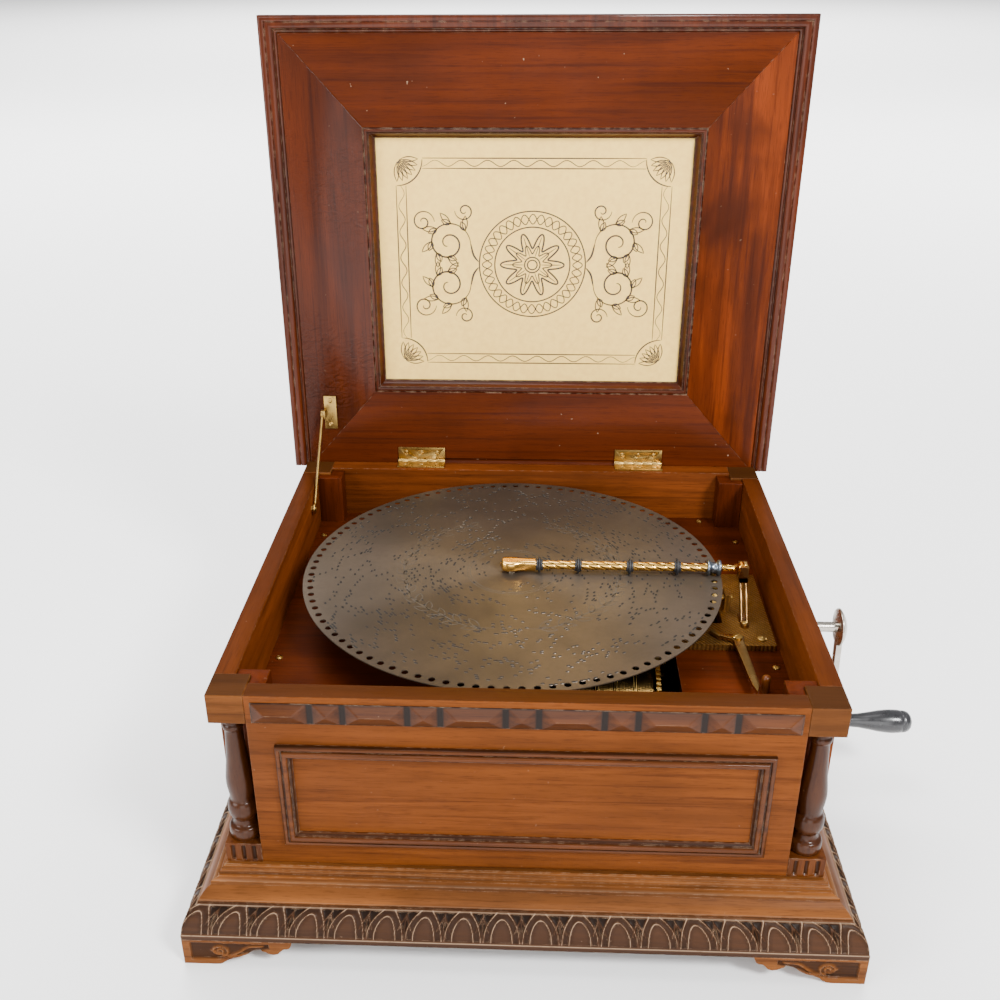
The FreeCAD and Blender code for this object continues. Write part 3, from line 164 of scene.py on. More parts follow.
class StageLooks(PropertyGroup):
    floor: colour("Floor", "Pale floor", (0.97, 0.97, 0.97))
    key: power("Key", "Power of the main light", 105)
    fill: power("Fill", "Power of the side light", 46)
    backdrop: power("Backdrop", "Power of each light over the floor behind", 260)
    sky: amount("Sky", "Strength of the light from all around", 0.6, 0, 5)
    focal: amount("Focal length", "Camera lens in millimetres", 40.78, 10, 200)
    pitch: angle("Pitch", "Camera's look down", 27.2)
    yaw: angle("Yaw", "Camera's turn to the right", -2.6)
    roll: angle("Roll", "Camera's roll", 0.3)


# Surfaces


def circle(steps):
    """Angles in equal steps once round."""
    return np.linspace(0, 2 * np.pi, steps, endpoint=False)


def polar(reach, turn, centre=(0, 0)):
    """Points in a plane at a distance and an angle from a centre."""
    return np.column_stack([centre[0] + reach * np.cos(turn), centre[1] + reach * np.sin(turn)])


def spin(turn):
    """The matrix that turns rows of points in a plane when they are multiplied by it."""
    return np.array([[math.cos(turn), math.sin(turn)], [-math.sin(turn), math.cos(turn)]])


def loft(rings, wrap=True, loop=False, caps=True):
    """Points and faces of a skin over a stack of equal rows of points. Row i is joined to row i + 1
    by four-sided faces; wrap closes each row, loop joins the last row to the first."""
    rings = np.asarray(rings, float)
    rows, count = rings.shape[:2]
    index = np.arange(rows * count).reshape(rows, count)
    across = np.concatenate([index, index[:, :1]], axis=1) if wrap else index
    across = np.concatenate([across, across[:1]], axis=0) if loop else across
    quads = np.stack([across[:-1, :-1], across[:-1, 1:], across[1:, 1:], across[1:, :-1]], axis=-1)
    faces = quads.reshape(-1, 4).tolist()
    if caps and not loop:
        faces += [index[0, ::-1].tolist(), index[-1].tolist()]
    return rings.reshape(-1, 3), faces


def lathe(profile, centre, axis, steps=48, bored=False):
    """A profile of (radius, distance) pairs turned about an axis through centre: each pair becomes
    a circle of that radius at that distance along the axis."""
    profile = np.asarray(profile, float)
    turn = circle(steps)
    rings = np.stack([profile[:, :1] * np.cos(turn), profile[:, :1] * np.sin(turn),
                      np.repeat(profile[:, 1:], steps, axis=1)], axis=-1)
    order = {"X": (2, 0, 1), "Y": (1, 2, 0), "Z": (0, 1, 2)}[axis]
    return loft(rings[..., order] + np.asarray(centre, float), loop=bored)


def both_ways(profile):
    """A profile of (radius, distance) pairs below its middle, followed by its mirror image."""
    profile = np.array(profile)
    return np.concatenate([profile * [1, -1], profile[::-1]])


def through(points, per=8):
    """A smooth curve through points: on each stretch the cubic whose slope at either end is half
    the chord between that point's two neighbours."""
    points = np.asarray(points, float)
    padded = np.concatenate([2 * points[:1] - points[1:2], points, 2 * points[-1:] - points[-2:-1]])
    step = np.linspace(0, 1, per, endpoint=False)[None, :, None]
    a, b, c, d = padded[:-3, None], padded[1:-2, None], padded[2:-1, None], padded[3:, None]
    curve = 0.5 * (2 * b + (c - a) * step + (2 * a - 5 * b + 4 * c - d) * step ** 2
                   + (3 * b - a - 3 * c + d) * step ** 3)
    return np.concatenate([curve.reshape(-1, points.shape[1]), points[-1:]])


def tube(path, radius, sides=12):
    """A round bar along a path: circles of the given radii square to the path's direction, turned
    from a fixed helper direction."""
    path = np.asarray(path, float)
    ahead = np.gradient(path, axis=0)
    ahead /= np.linalg.norm(ahead, axis=1, keepdims=True)
    helper = np.eye(3)[np.argmin(np.abs(ahead).sum(axis=0))]
    side = np.cross(ahead, helper)
    side /= np.linalg.norm(side, axis=1, keepdims=True)
    up = np.cross(side, ahead)
    turn = circle(sides)[None, :, None]
    radius = np.broadcast_to(np.asarray(radius, float), len(path))[:, None, None]
    return loft(path[:, None] + radius * (np.cos(turn) * side[:, None] + np.sin(turn) * up[:, None]))


def block(low, high):
    """A plain block between two corners."""
    (x0, y0, z0), (x1, y1, z1) = low, high
    ring = np.array([(x0, y0), (x1, y0), (x1, y1), (x0, y1)], float)
    return loft([np.column_stack([ring, np.full(4, height)]) for height in (z0, z1)])


def piece(name, parts, body, material, replaced=(), sharp=35, marks=None):
    """Joins parts, given in millimetres, into one object that rides on a body of the frame. Doubles
    are merged and normals pointed outwards. marks holds named values from 0 to 1 for every point."""
    points, faces, start = [], [], 0
    for verts, polys in parts:
        points.append(np.asarray(verts, float))
        faces += [[corner + start for corner in poly] for poly in polys]
        start += len(verts)
    mesh = bpy.data.meshes.new(name)
    mesh.from_pydata((np.concatenate(points) * MM).tolist(), [], faces)
    for mark, values in (marks or {}).items():
        mesh.attributes.new(mark, "FLOAT", "POINT").data.foreach_set("value",
                np.ravel(values).astype(np.float32))
    shape = bmesh.new()
    shape.from_mesh(mesh)
    bmesh.ops.remove_doubles(shape, verts=shape.verts, dist=1e-7)
    bmesh.ops.recalc_face_normals(shape, faces=shape.faces)
    shape.to_mesh(mesh)
    shape.free()
    mesh.polygons.foreach_set("use_smooth", np.ones(len(mesh.polygons), bool))
    mesh.set_sharp_from_angle(angle=math.radians(sharp))
    return fit(name, mesh, body, material, replaced)


def fit(name, mesh, body, material, replaced):
    """Makes an object of a mesh, gives it its material and hands it to the frame."""
    thing = bpy.data.objects.new(name, mesh)
    bpy.context.scene.collection.objects.link(thing)
    mesh.materials.clear()
    mesh.materials.append(material)
    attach(thing, body)
    if replaced:
        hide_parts(*replaced)
    return thing


def bevelled(thing, width, angle=30):
    """Rounds an object's edges where they turn by more than an angle in degrees."""
    bevel = thing.modifiers.new("edges", "BEVEL")
    bevel.width, bevel.segments = width * MM, 2
    bevel.limit_method, bevel.angle_limit = "ANGLE", math.radians(angle)
    return bevel


def rounded(node, material, width):
    """A copy of a node of the frame with its triangles merged into flat faces and its edges rounded
    over, which takes the node's place."""
    source = frame["nodes"][node]
    mesh = bpy.data.meshes.new(node + "_rounded")
    shape = bmesh.new()
    shape.from_mesh(source.data)
    bmesh.ops.remove_doubles(shape, verts=shape.verts, dist=1e-6)
    bmesh.ops.dissolve_limit(shape, angle_limit=math.radians(1), verts=shape.verts, edges=shape.edges)
    shape.to_mesh(mesh)
    shape.free()
    mesh.polygons.foreach_set("use_smooth", np.ones(len(mesh.polygons), bool))
    thing = fit(node + "_rounded", mesh, source["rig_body"], material, [node])
    bevelled(thing, width).harden_normals = True


SLOTS = {part["node"]: part["material_slot"] for part in frame["record"]["subparts"]}


# Materials


def shade(tone, share):
    """A colour with its parts multiplied by a share, or by a share for each."""
    return tuple((np.asarray(tone, float) * share).tolist())


class Recipe:
    """A material under construction: adds nodes, links sockets or sets plain values, and keeps the
    base colour and the normal that it has so far."""

    def __init__(self, name, tone=(1, 1, 1)):
        self.material = bpy.data.materials.new(name)
        self.material.use_nodes = True
        self.tree = self.material.node_tree
        self.surface = self.tree.nodes["Principled BSDF"]
        self.place = self.add("TexCoord").outputs["Object"]
        self.base, self.normal = tuple(tone) + (1,), None

    def feed(self, node, values):
        for name, value in values.items():
            socket = node.inputs[name]
            if isinstance(value, bpy.types.NodeSocket):
                self.tree.links.new(value, socket)
            else:
                socket.default_value = value

    def add(self, kind, settings=None, **values):
        node = self.tree.nodes.new("ShaderNode" + kind)
        for name, value in (settings or {}).items():
            setattr(node, name, value)
        self.feed(node, {name.replace("_", " "): value for name, value in values.items()})
        return node

    def stretch(self, size, centre=(0, 0, 0), turn=(0, 0, 0)):
        """Coordinates in which one unit is the given size in metres along each axis."""
        return self.add("Mapping", {"vector_type": "TEXTURE"}, Vector=self.place, Scale=size,
                        Location=centre, Rotation=turn).outputs[0]

    def noise(self, place, detail=3.0, distortion=0.0, roughness=0.5):
        """Noise in stretched coordinates, or of one size in metres."""
        if isinstance(place, float):
            place = self.stretch((place,) * 3)
        return self.add("TexNoise", Vector=place, Scale=1.0, Detail=detail, Distortion=distortion,
                        Roughness=roughness).outputs["Fac"]

    def wave(self, settings, **values):
        return self.add("TexWave", settings, **values).outputs["Fac"]

    def attribute(self, name):
        return self.add("Attribute", {"attribute_name": name}).outputs["Fac"]

    def span(self, value, low, high, to_low=0.0, to_high=1.0):
        """A value's range carried over to another, held at its ends."""
        node = self.add("MapRange", Value=value)
        for index, number in enumerate((low, high, to_low, to_high), start=1):
            node.inputs[index].default_value = number
        return node.outputs[0]

    def product(self, first, second):
        node = self.add("Math", {"operation": "MULTIPLY", "use_clamp": True})
        self.feed(node, {0: first, 1: second})
        return node.outputs[0]

    def lay(self, tone, share):
        """Lays a colour over the base colour, by a share."""
        node = self.add("Mix", {"data_type": "RGBA"})
        self.feed(node, {0: share, 6: self.base, 7: tuple(tone) + (1,)})
        self.base = node.outputs[2]

    def over(self, tone, value, low, high, most=1.0, least=0.0):
        """Lays a colour over the base colour, by a share that grows over a value's range."""
        self.lay(tone, self.span(value, low, high, least, most))

    def bump(self, height, strength, distance):
        """Adds bumps on top of those so far."""
        node = self.add("Bump", Height=height, Strength=strength, Distance=distance)
        if self.normal:
            self.feed(node, {"Normal": self.normal})
        self.normal = node.outputs[0]

    def done(self, **values):
        if self.normal:
            values["Normal"] = self.normal
        values["Base_Color"] = self.base
        self.feed(self.surface, {name.replace("_", " "): value for name, value in values.items()})
        return self.material


def walnut(name, along, tone, seed, ripple=0.0, carved=False, gloss=None, streaks=1.0, grime=0.0,
           specks=0.15):
    """Varnished walnut with its grain along one axis: broad figure, growth bands, fine pores, stains,
    rubbed edges, darkening on what faces up and, on carved pieces, painted shade in the hollows and
    pale ridges, partly rubbed wear and partly a painted highlight."""
    looks = bpy.context.scene.box_walnut
    recipe = Recipe(name, tone)
    axis = "XYZ".index(along)

    def grain(long, across):
        size = [across] * 3
        size[axis] = long
        return recipe.stretch(size, (seed * 0.37, seed * 0.53, seed * 0.71))

    bands = recipe.wave({"bands_direction": "XYZ"[(axis + 2) % 3]}, Vector=grain(0.5, 0.055), Scale=1.2,
                        Distortion=7, Detail=3, Detail_Scale=1.4)
    pores = recipe.noise(grain(0.02, 0.0011), 3, roughness=0.7)
    recipe.over(np.minimum(1.0, shade(tone, 1.2 + 0.35 * streaks)), recipe.noise(grain(0.32, 0.03), 5, 0.8),
                0.38, 0.62)
    recipe.over(looks.dark, bands, 0.5, 0.95, 0.22 * streaks)
    recipe.over(looks.dark, recipe.noise(grain(0.26, 0.0052), 4, 0.2, 0.6), 0.52, 0.7, 0.55)
    recipe.over(looks.dark, pores, 0.52, 0.66, 0.35)
    stain = recipe.noise(recipe.stretch((0.14,) * 3, (seed, 0, seed)), 3, 0.5)
    recipe.over(shade(tone, 0.35), stain, 0.52, 0.74, 0.5 * streaks)
    chips = recipe.noise(0.006, 4)
    if carved:
        height = recipe.attribute("carved")
        recipe.lay(looks.carved, recipe.product(recipe.attribute("band"), 0.85))
        # Painted shade: points marked low, in the hollows, are darkened to a near black brown.
        recipe.over(shade(looks.carved, 0.15), height, 0.05, 0.7, 0.0, 1.0)
        # Points marked high, on the ridges, turn pale: partly rubbed wear, partly a painted highlight.
        recipe.lay(looks.worn, recipe.product(recipe.span(height, 0.76, 0.92, 0, 0.8),
                                              recipe.span(chips, 0.1, 0.4)))
    edge = recipe.add("Bevel", {"samples": 4}, Radius=0.0011).outputs[0]
    face = recipe.add("NewGeometry").outputs["Normal"]
    # Faces that point up are made darker, more so the more squarely they face up.
    if grime:
        upward = recipe.add("SeparateXYZ", Vector=face).outputs["Z"]
        recipe.over(shade(tone, 0.3), upward, 0.55, 0.95, grime)
    flat = recipe.add("VectorMath", {"operation": "DOT_PRODUCT"})
    recipe.feed(flat, {0: edge, 1: face})
    recipe.lay(looks.worn, recipe.product(recipe.span(flat.outputs["Value"], 0.985, 0.8),
                                          recipe.span(chips, 0.45, 0.62, 0, looks.wear)))
    recipe.over(looks.worn, recipe.noise(0.0045, 1), 0.79, 0.82, specks)
    recipe.bump(pores, 0.12, 0.0004)
    if ripple:
        crackle = recipe.noise(recipe.stretch((0.009, 0.009, 0.006)), 2, 1.4)
        where = recipe.span(recipe.noise(recipe.stretch((0.12,) * 3, (0, 0, seed)), 2), 0.42, 0.6)
        recipe.bump(recipe.product(crackle, where), ripple, 0.004)
    return recipe.done(Roughness=recipe.span(recipe.noise(0.05, 4), 0.35, 0.7, 0.36, 0.55),
                       Specular_IOR_Level=0.06, Coat_Weight=looks.gloss if gloss is None else gloss,
                       Coat_Roughness=0.16)


def metal(name, tone, tarnish, rough=0.25, spots=0.35, scale=0.02, ribs=0.0, hollows=False):
    """Metal with patches of tarnish, given as a share of its tone, uneven polish and fine scratches,
    ribbed or dark in its hollows where asked."""
    recipe = Recipe(name, tone)
    patch = recipe.noise(scale, 5, 0.4)
    recipe.over(shade(tone, tarnish), patch, 0.42, 0.7, spots * 2)
    recipe.bump(recipe.noise(recipe.stretch((0.0012, 0.012, 0.0012)), 3), 0.08, 0.0002)
    if ribs:
        wave = recipe.wave({"bands_direction": "X"}, Scale=1, Distortion=0.4, Detail=1,
                           Vector=recipe.stretch((ribs,) * 3, turn=(0, 0, math.radians(38))))
        grit = recipe.noise(0.0016, 3)
        recipe.bump(wave, 0.55, 0.0008)
        recipe.bump(grit, 0.6, 0.0006)
        recipe.over(shade(tone, 0.25), wave, 0.0, 0.6, 0.0, 0.65)
        recipe.over(shade(tone, 0.3), grit, 0.42, 0.6, 0.0, 0.5)
    if hollows:
        recipe.over(shade(tone, 0.12), recipe.attribute("hollow"), 0.1, 0.9, 0.9)
    return recipe.done(Metallic=1.0, Roughness=recipe.span(patch, 0.3, 0.75, rough * 0.75, rough * 1.6))


def disc_metal(centre):
    """Dull zinc-grey sheet, brushed in circles round the spindle, with stains."""
    zinc = bpy.context.scene.box_metal.zinc
    recipe = Recipe("disc_metal", zinc)
    about = recipe.stretch((1, 1, 1), tuple(np.asarray(centre) * MM))
    brushed = recipe.wave({"wave_type": "RINGS", "rings_direction": "Z"}, Vector=about, Scale=420,
                          Distortion=1.5, Detail=2, Detail_Scale=3)
    stain = recipe.noise(0.09, 6, 0.7)
    recipe.over(shade(zinc, 0.5), stain, 0.36, 0.68, 0.75)
    recipe.over(shade(zinc, 0.6), recipe.noise(0.004, 4), 0.45, 0.75, 0.35)
    recipe.bump(brushed, 0.06, 0.0002)
    tangent = recipe.add("Tangent", {"direction_type": "RADIAL", "axis": "Z"}).outputs[0]
    return recipe.done(Metallic=0.6, Tangent=tangent, Anisotropic=0.88, Specular_IOR_Level=0.15,
                       Roughness=recipe.span(stain, 0.3, 0.7, 0.32, 0.42))


def paper():
    """Cream board with soft mottling and a slight tooth."""
    board = bpy.context.scene.box_picture.board
    recipe = Recipe("cream_board", shade(board, 0.93))
    mottle = recipe.noise(0.006, 6)
    recipe.over(np.minimum(1.0, shade(board, 1.05)), mottle, 0.35, 0.65)
    recipe.over(shade(board, 0.82), recipe.noise(0.12, 2), 0.4, 0.7, 0.25)
    recipe.bump(mottle, 0.1, 0.0002)
    return recipe.done(Roughness=0.75, Specular_IOR_Level=0.15)


def plain(name, tone, rough=0.5, coat=0.0):
    """A plain dark finish with uneven gloss and a faint scuff."""
    recipe = Recipe(name, tone)
    scuff = recipe.noise(0.008, 5)
    recipe.over(np.array(shade(tone, 2.2)) + 0.01, scuff, 0.45, 0.75, 0.5)
    return recipe.done(Roughness=recipe.span(scuff, 0.3, 0.7, rough * 0.7, rough * 1.3), Coat_Weight=coat,
                       Coat_Roughness=0.2)


FINISHES = {}


def finishes():
    """All the materials by name, made once."""
    if FINISHES:
        return FINISHES
    wood, alloy, picture = (getattr(bpy.context.scene, name)
                            for name in ("box_walnut", "box_metal", "box_picture"))
    warm, red = wood.warm, wood.red
    mellow = (np.array(red) + warm) / 2
    tan = shade(warm, (1.22, 1.48, 1.9))
    for key, name, along, tone, seed, settings in (
            ("front_x", "front", "X", warm, 1, dict(streaks=0.6, gloss=0.0, grime=0.75)),
            ("base_x", "base_front", "X", tan, 2, dict(carved=True)),
            ("base_y", "base_sides", "Y", tan, 3, dict(carved=True)),
            ("side_y", "sides", "Y", shade(mellow, 1.25), 4, dict(gloss=0.0, grime=0.6)),
            ("back_x", "back", "X", shade(mellow, 1.2), 5, {}),
            ("lid_x", "lid_rails", "X", red, 6, dict(streaks=0.6, specks=0.6)),
            ("lid_left", "lid_left", "Z", shade(red, 0.8), 7, dict(ripple=0.9, gloss=0.22)),
            ("lid_right", "lid_right", "Z", shade(red, 1.5), 8, dict(streaks=2.2)),
            ("lid_top", "lid_top", "X", red, 9, {}),
            ("bead_x", "bead", "X", shade(red, 0.7), 10, dict(gloss=0.3, carved=True)),
            ("frame_x", "front_frame", "X", shade(warm, 0.62), 16, dict(gloss=0.2, carved=True)),
            ("edge_z", "lid_edge", "Z", shade(red, 0.85), 11, dict(gloss=0.3, carved=True)),
            ("posts", "posts", "Z", shade(red, 0.85), 17, {}),
            ("column", "columns", "Z", shade(warm, 0.3), 12, dict(gloss=0.3)),
            ("rail_x", "rail", "X", shade(warm, 0.55), 19, dict(gloss=0.22, carved=True)),
            ("plinth", "plinths", "Z", shade(warm, 0.6), 20, dict(gloss=0.1, carved=True)),
            ("peg", "peg", "Z", warm, 18, dict(gloss=0.5)),
            ("feet", "feet", "X", shade(tan, 1.15), 13, dict(carved=True)),
            ("deck", "deck", "X", shade(red, 0.95), 14, dict(gloss=0.0)),
            ("cap", "caps", "X", shade(tan, 0.8), 15, dict(gloss=0.0, grime=0.8))):
        FINISHES[key] = walnut("walnut_" + name, along, tone, seed, **settings)
    for key, name, tone, *settings in (
            ("brass", "brass_fittings", shade(alloy.brass, (0.62, 0.56, 0.4)), (0.35 / 0.62, 0.625, 0.875),
             0.3, 0.15, 0.008),
            ("aged", "aged_brass", alloy.aged, 0.4, 0.26),
            ("gold", "gilt_arm", alloy.gold, 0.6, 0.15, 0.15, 0.02, 0.0, True),
            ("strut", "warm_strut", alloy.strut, 0.45, 0.28, 0.3),
            # shell: the aged brass darkened to three tenths, painted shade for the spring barrel under the
            # deck
            ("shell", "dark_brass_shell", shade(alloy.aged, 0.3), 1 / 3, 0.2, 0.4),
            ("bronze", "bronze_bedplate", alloy.bronze, 0.4, 0.42, 0.4, 0.02, 0.0095),
            ("steel", "polished_steel", alloy.steel, 0.5, 0.2, 0.25),
            ("nickel", "worn_nickel", alloy.nickel, 0.6, 0.24, 0.2),
            ("blued", "blued_collar", alloy.blued, 0.5, 0.3),
            ("iron", "dark_iron", (0.08, 0.075, 0.07), (0.375, 1 / 3, 2 / 7), 0.45)):
        FINISHES[key] = metal(name, tone, *settings)
    for key, name, tone, *settings in (
            ("roller", "black_rollers", alloy.black, 0.45), ("grip", "black_grip", alloy.black, 0.32, 0.3),
            ("ink", "brown_ink", picture.ink, 0.6), ("stamp", "stamped_lines", (0.045, 0.036, 0.028)),
            # slit: near black, painted shade standing for the open slits punched in the disc
            ("slit", "slit_dark", (0.006, 0.005, 0.004), 0.8)):
        FINISHES[key] = plain(name, tone, *settings)
    FINISHES.update(paper=paper(), disc=disc_metal(middle("music_disc")))
    return FINISHES


class Step:
    """What the operators share: each has a build method that makes its pieces."""

    def execute(self, context):
        self.build(context, finishes())
        return {"FINISHED"}


# Base with its carved band, and the feet

# Section of the base moulding: share of the way out from the wall, height share of the whole.
EGG_FOOT, EGG_TOP = 0.108, 0.535
BASE_LOW = [(1.0, 0.0), (1.0, 0.05), (1.0, 0.095), (0.985, EGG_FOOT)]
BASE_HIGH = [(0.63, EGG_TOP), (0.615, 0.545), (0.612, 0.575), (0.6, 0.583), (0.575, 0.60), (0.545, 0.635),
             (0.49, 0.68), (0.42, 0.72), (0.36, 0.745), (0.338, 0.76), (0.335, 0.80), (0.325, 0.81),
             (0.20, 0.825), (0.18, 0.835), (0.178, 0.89), (0.165, 0.90), (0.13, 0.905), (0.115, 0.915),
             (0.11, 0.95), (0.10, 0.957), (0.055, 0.965), (0.047, 0.97), (0.047, 1.0)]


# How dark or rubbed each point of that section is: hollows near 0.3 get painted shade, ridges near 1
# turn to pale bare wood, partly rubbed wear and partly a painted highlight.
BASE_SHADE_AND_WEAR = [0.35, 0.3, 0.3, 0.8, 0.74, 0.6, 0.5, 0.48, 0.46, 0.42, 0.4, 0.8, 0.74, 0.72, 0.4, 0.5, 0.8, 0.7,
             0.45, 0.5, 0.8, 0.7, 0.5, 0.45, 0.4]


def arch(x, z, wide, tall, power_x, power_z):
    """Distance from the outline of an arch, negative inside. On the outline x over the half width and
    z over the height, each raised to a power, add up to one; the rest of the sum over its slope is
    nearly the distance."""
    x, z = np.abs(x) + 1e-6, np.maximum(z, 1e-6)
    across, rise = x / wide, z / tall
    slope = np.hypot(power_x * across ** (power_x - 1) / wide, power_z * rise ** (power_z - 1) / tall)
    return (across ** power_x + rise ** power_z - 1) / np.maximum(slope, 0.4 / wide)


def egg_and_dart(along, up, pitch, tall):
    """Height, from 0 to 1, of an egg-and-dart carving: each egg is an arch with a fine ridge on its
    outline inside a wider arch with another, and between two of these stands a leaf over a thin rib."""
    from_egg = np.abs((along / pitch) % 1 - 0.5) * pitch
    from_dart = 0.5 * pitch - from_egg
    z = up * tall
    inner = arch(from_egg, z, 0.275 * pitch, 0.87 * tall, 2.0, 2.4)
    outer = arch(from_egg, z, 0.455 * pitch, 1.04 * tall, 2.0, 2.6)
    leaf = arch(from_dart, z - 0.4 * tall, 0.17 * pitch, 0.5 * tall, 1.1, 1.2)
    shapes = np.broadcast_arrays(
        np.exp(-(inner / 0.95) ** 2), 0.97 * np.exp(-(outer / 0.85) ** 2),
        np.where(inner < 0, 0.42 + 0.2 * np.clip(-inner / 6, 0, 1), 0), np.where(outer < 0, 0.36, 0.12),
        0.6 * np.exp(-(from_dart / 0.7) ** 2), np.where(z > 0.4 * tall, 0.8 * np.exp(-(leaf / 0.75) ** 2), 0),
        np.where((from_dart < 1.7) & (up < 0.09), 0.75, 0), 0.85 * np.clip((up - 0.965) / 0.02, 0, 1),
        0.9 * np.clip((0.03 - up) / 0.02, 0, 1))
    return np.clip(np.max(shapes, axis=0), 0, 1)


def moulding_side(half_long, half_out, reach, low, high, turn, pitch, depth):
    """One mitred side of the base: the section carried along the side, each point of it as far out
    and as long as the mitre asks, and pushed in along the band where the carving is low."""
    band = np.linspace(0, 1, 32)[1:-1]
    bulge = np.column_stack([0.985 - (0.985 - 0.63) * (1 - np.cos(band * np.pi / 2)) ** 0.9,
                             EGG_FOOT + (EGG_TOP - EGG_FOOT) * np.sin(band * np.pi / 2) ** 1.15])
    section = np.concatenate([BASE_LOW, bulge, BASE_HIGH, [(-0.5, 1.0), (-0.5, 0.0)]])
    up = np.zeros(len(section))
    up[4:4 + len(band)] = (bulge[:, 1] - EGG_FOOT) / (EGG_TOP - EGG_FOOT)
    on_band = np.zeros(len(section))
    on_band[4:4 + len(band)] = 1
    steps = int(2 * half_long / pitch * 40)
    share = np.linspace(-1, 1, steps)[:, None]
    out, tall = section[None, :, 0], section[None, :, 1]
    along = share * (half_long - reach * (1 - out))
    slant = math.hypot((EGG_TOP - EGG_FOOT) * (high - low), 0.37 * reach)
    carve = np.where(on_band > 0, egg_and_dart(share * half_long, up[None], pitch, slant), 1.0)
    ends = np.clip((1 - np.abs(share)) * half_long / 1.5, 0, 1)
    pushed = np.where(on_band > 0, (1 - carve) * depth * ends, 0)
    away = half_out - reach * (1 - out) - 0.75 * pushed
    height = low + (high - low) * tall - 0.5 * pushed * (up[None] > 0.3)
    along, away, height = np.broadcast_arrays(along, away, height)
    points = np.stack([along, -away, height], axis=-1)
    points = np.concatenate([points[..., :2] @ spin(turn), points[..., 2:]], axis=-1)
    # Marks for the walnut: the carving's height on the band, the listed values elsewhere. Low marks give
    # painted shade in the hollows, high ones pale ridges that are partly wear and partly painted highlight.
    plain = np.array([0.5, 0.6, 0.9, 0.7] + [1] * len(band) + BASE_SHADE_AND_WEAR)
    shade_and_wear = np.where(on_band > 0, carve * 0.98, plain) * np.ones_like(away)
    return points, shade_and_wear, np.where(np.arange(len(section)) < 4 + len(band), 1.0, 0.0) * np.ones_like(away)


class MUSICBOX_OT_base(Step, Operator):
    """Make the four lengths of base moulding with their carved egg band"""
    bl_idname = "musicbox.base"
    bl_label = "Base moulding"

    def build(self, context, look):
        sizes = context.scene.box_carving
        low, high = corners("base_moulding_sides")
        wall_low, wall_high = corners("column_plinths_and_caps")
        centre = (low + high) / 2
        half, wall = (high - low) / 2, (wall_high - wall_low) / 2
        pitch = 2 * half[0] / (sizes.eggs + 0.5)
        for name, turns, look_name, nodes in (
                ("carved_base_front", (0,), "base_x", ["base_moulding_front"]),
                ("carved_base_back", (2,), "base_x", ["base_moulding_back"]),
                ("carved_base_sides", (1, 3), "base_y", ["base_moulding_sides"])):
            parts, shades_and_wear, bands = [], [], []
            for quarter in turns:
                across = quarter % 2
                points, shade_and_wear, band = moulding_side(half[across], half[1 - across],
                        half[across] - wall[across], low[2], high[2], quarter * math.pi / 2, pitch,
                        sizes.egg_depth / MM)
                parts.append(loft(points + [centre[0], centre[1], 0]))
                shades_and_wear.append(shade_and_wear.ravel())
                bands.append(band.ravel())
            piece(name, parts, "case", look[look_name], nodes,
                  marks={"carved": np.concatenate(shades_and_wear), "band": np.concatenate(bands)})


# Underside of a foot: distance from the corner, height, both in millimetres.
FOOT_EDGE = [(0, 0), (28, 0), (31, 0.4), (34, 2.2), (38, 5.5), (43, 7.8), (49, 9.6), (54, 12.2), (60, 15.4),
             (66, 16.8), (70, 15.8), (73, 13.6), (77, 12.6), (81, 13.8), (83.5, 17), (86, 19.2), (89, 19.4),
             (91.5, 21), (92.6, 24), (93.5, 26.9)]


def scroll(x, z):
    """Height of a plain leaf scroll in a sunk field: a ridge along a growing spiral with a long stem,
    where the distance is to the nearest of a run of points on it."""
    turn = np.linspace(0, 3.4 * np.pi, 90)
    spiral = np.column_stack([31 - (1.2 + 0.62 * turn) * np.cos(turn),
                              14.6 + (1.2 + 0.48 * turn) * np.sin(turn)])
    stem = through([(24.6, 15), (38, 9.5), (47, 13), (56, 19.5), (68, 21)], 12)
    marks = np.concatenate([spiral, stem])
    gap = np.min(np.hypot(x[..., None] - marks[:, 0], z[..., None] - marks[:, 1]), axis=-1)
    ridge = np.exp(-(gap / 1.15) ** 2)
    field = np.clip(np.minimum.reduce([x - 6.5, 74 - x, z - 4.5 - np.interp(x, [0, 30, 75], [0, 1, 14]),
                                       24.2 - z]) / 0.8, 0, 1)
    return 1 - field * (1 - ridge)


class MUSICBOX_OT_feet(Step, Operator):
    """Make the four bracket feet, each of two mitred boards with a carved scroll"""
    bl_idname = "musicbox.feet"
    bl_label = "Bracket feet"

    def build(self, context, look):
        depth = context.scene.box_carving.scroll_depth / MM
        low, high = corners("bracket_feet")
        centre, half = (low + high) / 2, (high - low) / 2
        top, thick = high[2], 18.0
        edge = np.array(FOOT_EDGE)
        reach = edge[-1, 0]
        away = np.linspace(0, reach, 120)[:, None]
        under = np.interp(away, edge[:, 0], edge[:, 1])
        height = under + (top - under) * np.linspace(0, 1, 26)
        spot = np.broadcast_to(away, height.shape)
        carve = scroll(spot, height)
        inner = thick + away * (reach - thick) / reach
        u = np.concatenate([spot, inner, inner], axis=1)
        v = np.concatenate([depth * (1 - carve), np.full((len(away), 2), thick)], axis=1)
        w = np.concatenate([height, np.full((len(away), 1), top), np.interp(inner, edge[:, 0], edge[:, 1])],
                axis=1)
        # Painted shade: the sunk field round the scroll is marked dark, the scroll's ridge lighter.
        shade_and_wear = np.concatenate([0.2 + 0.53 * carve, np.full((len(away), 2), 0.6)], axis=1)
        parts = []
        for side_x in (-1, 1):
            for side_y in (-1, 1):
                for plan in ((u, v), (v, u)):
                    parts.append(loft(np.stack([centre[0] + side_x * (half[0] - plan[0]),
                                                centre[1] + side_y * (half[1] - plan[1]), w], axis=-1)))
        piece("carved_feet", parts, "case", look["feet"], ["bracket_feet"],
              marks={"carved": np.tile(shade_and_wear.ravel(), len(parts))})


# Case, columns and front dressing

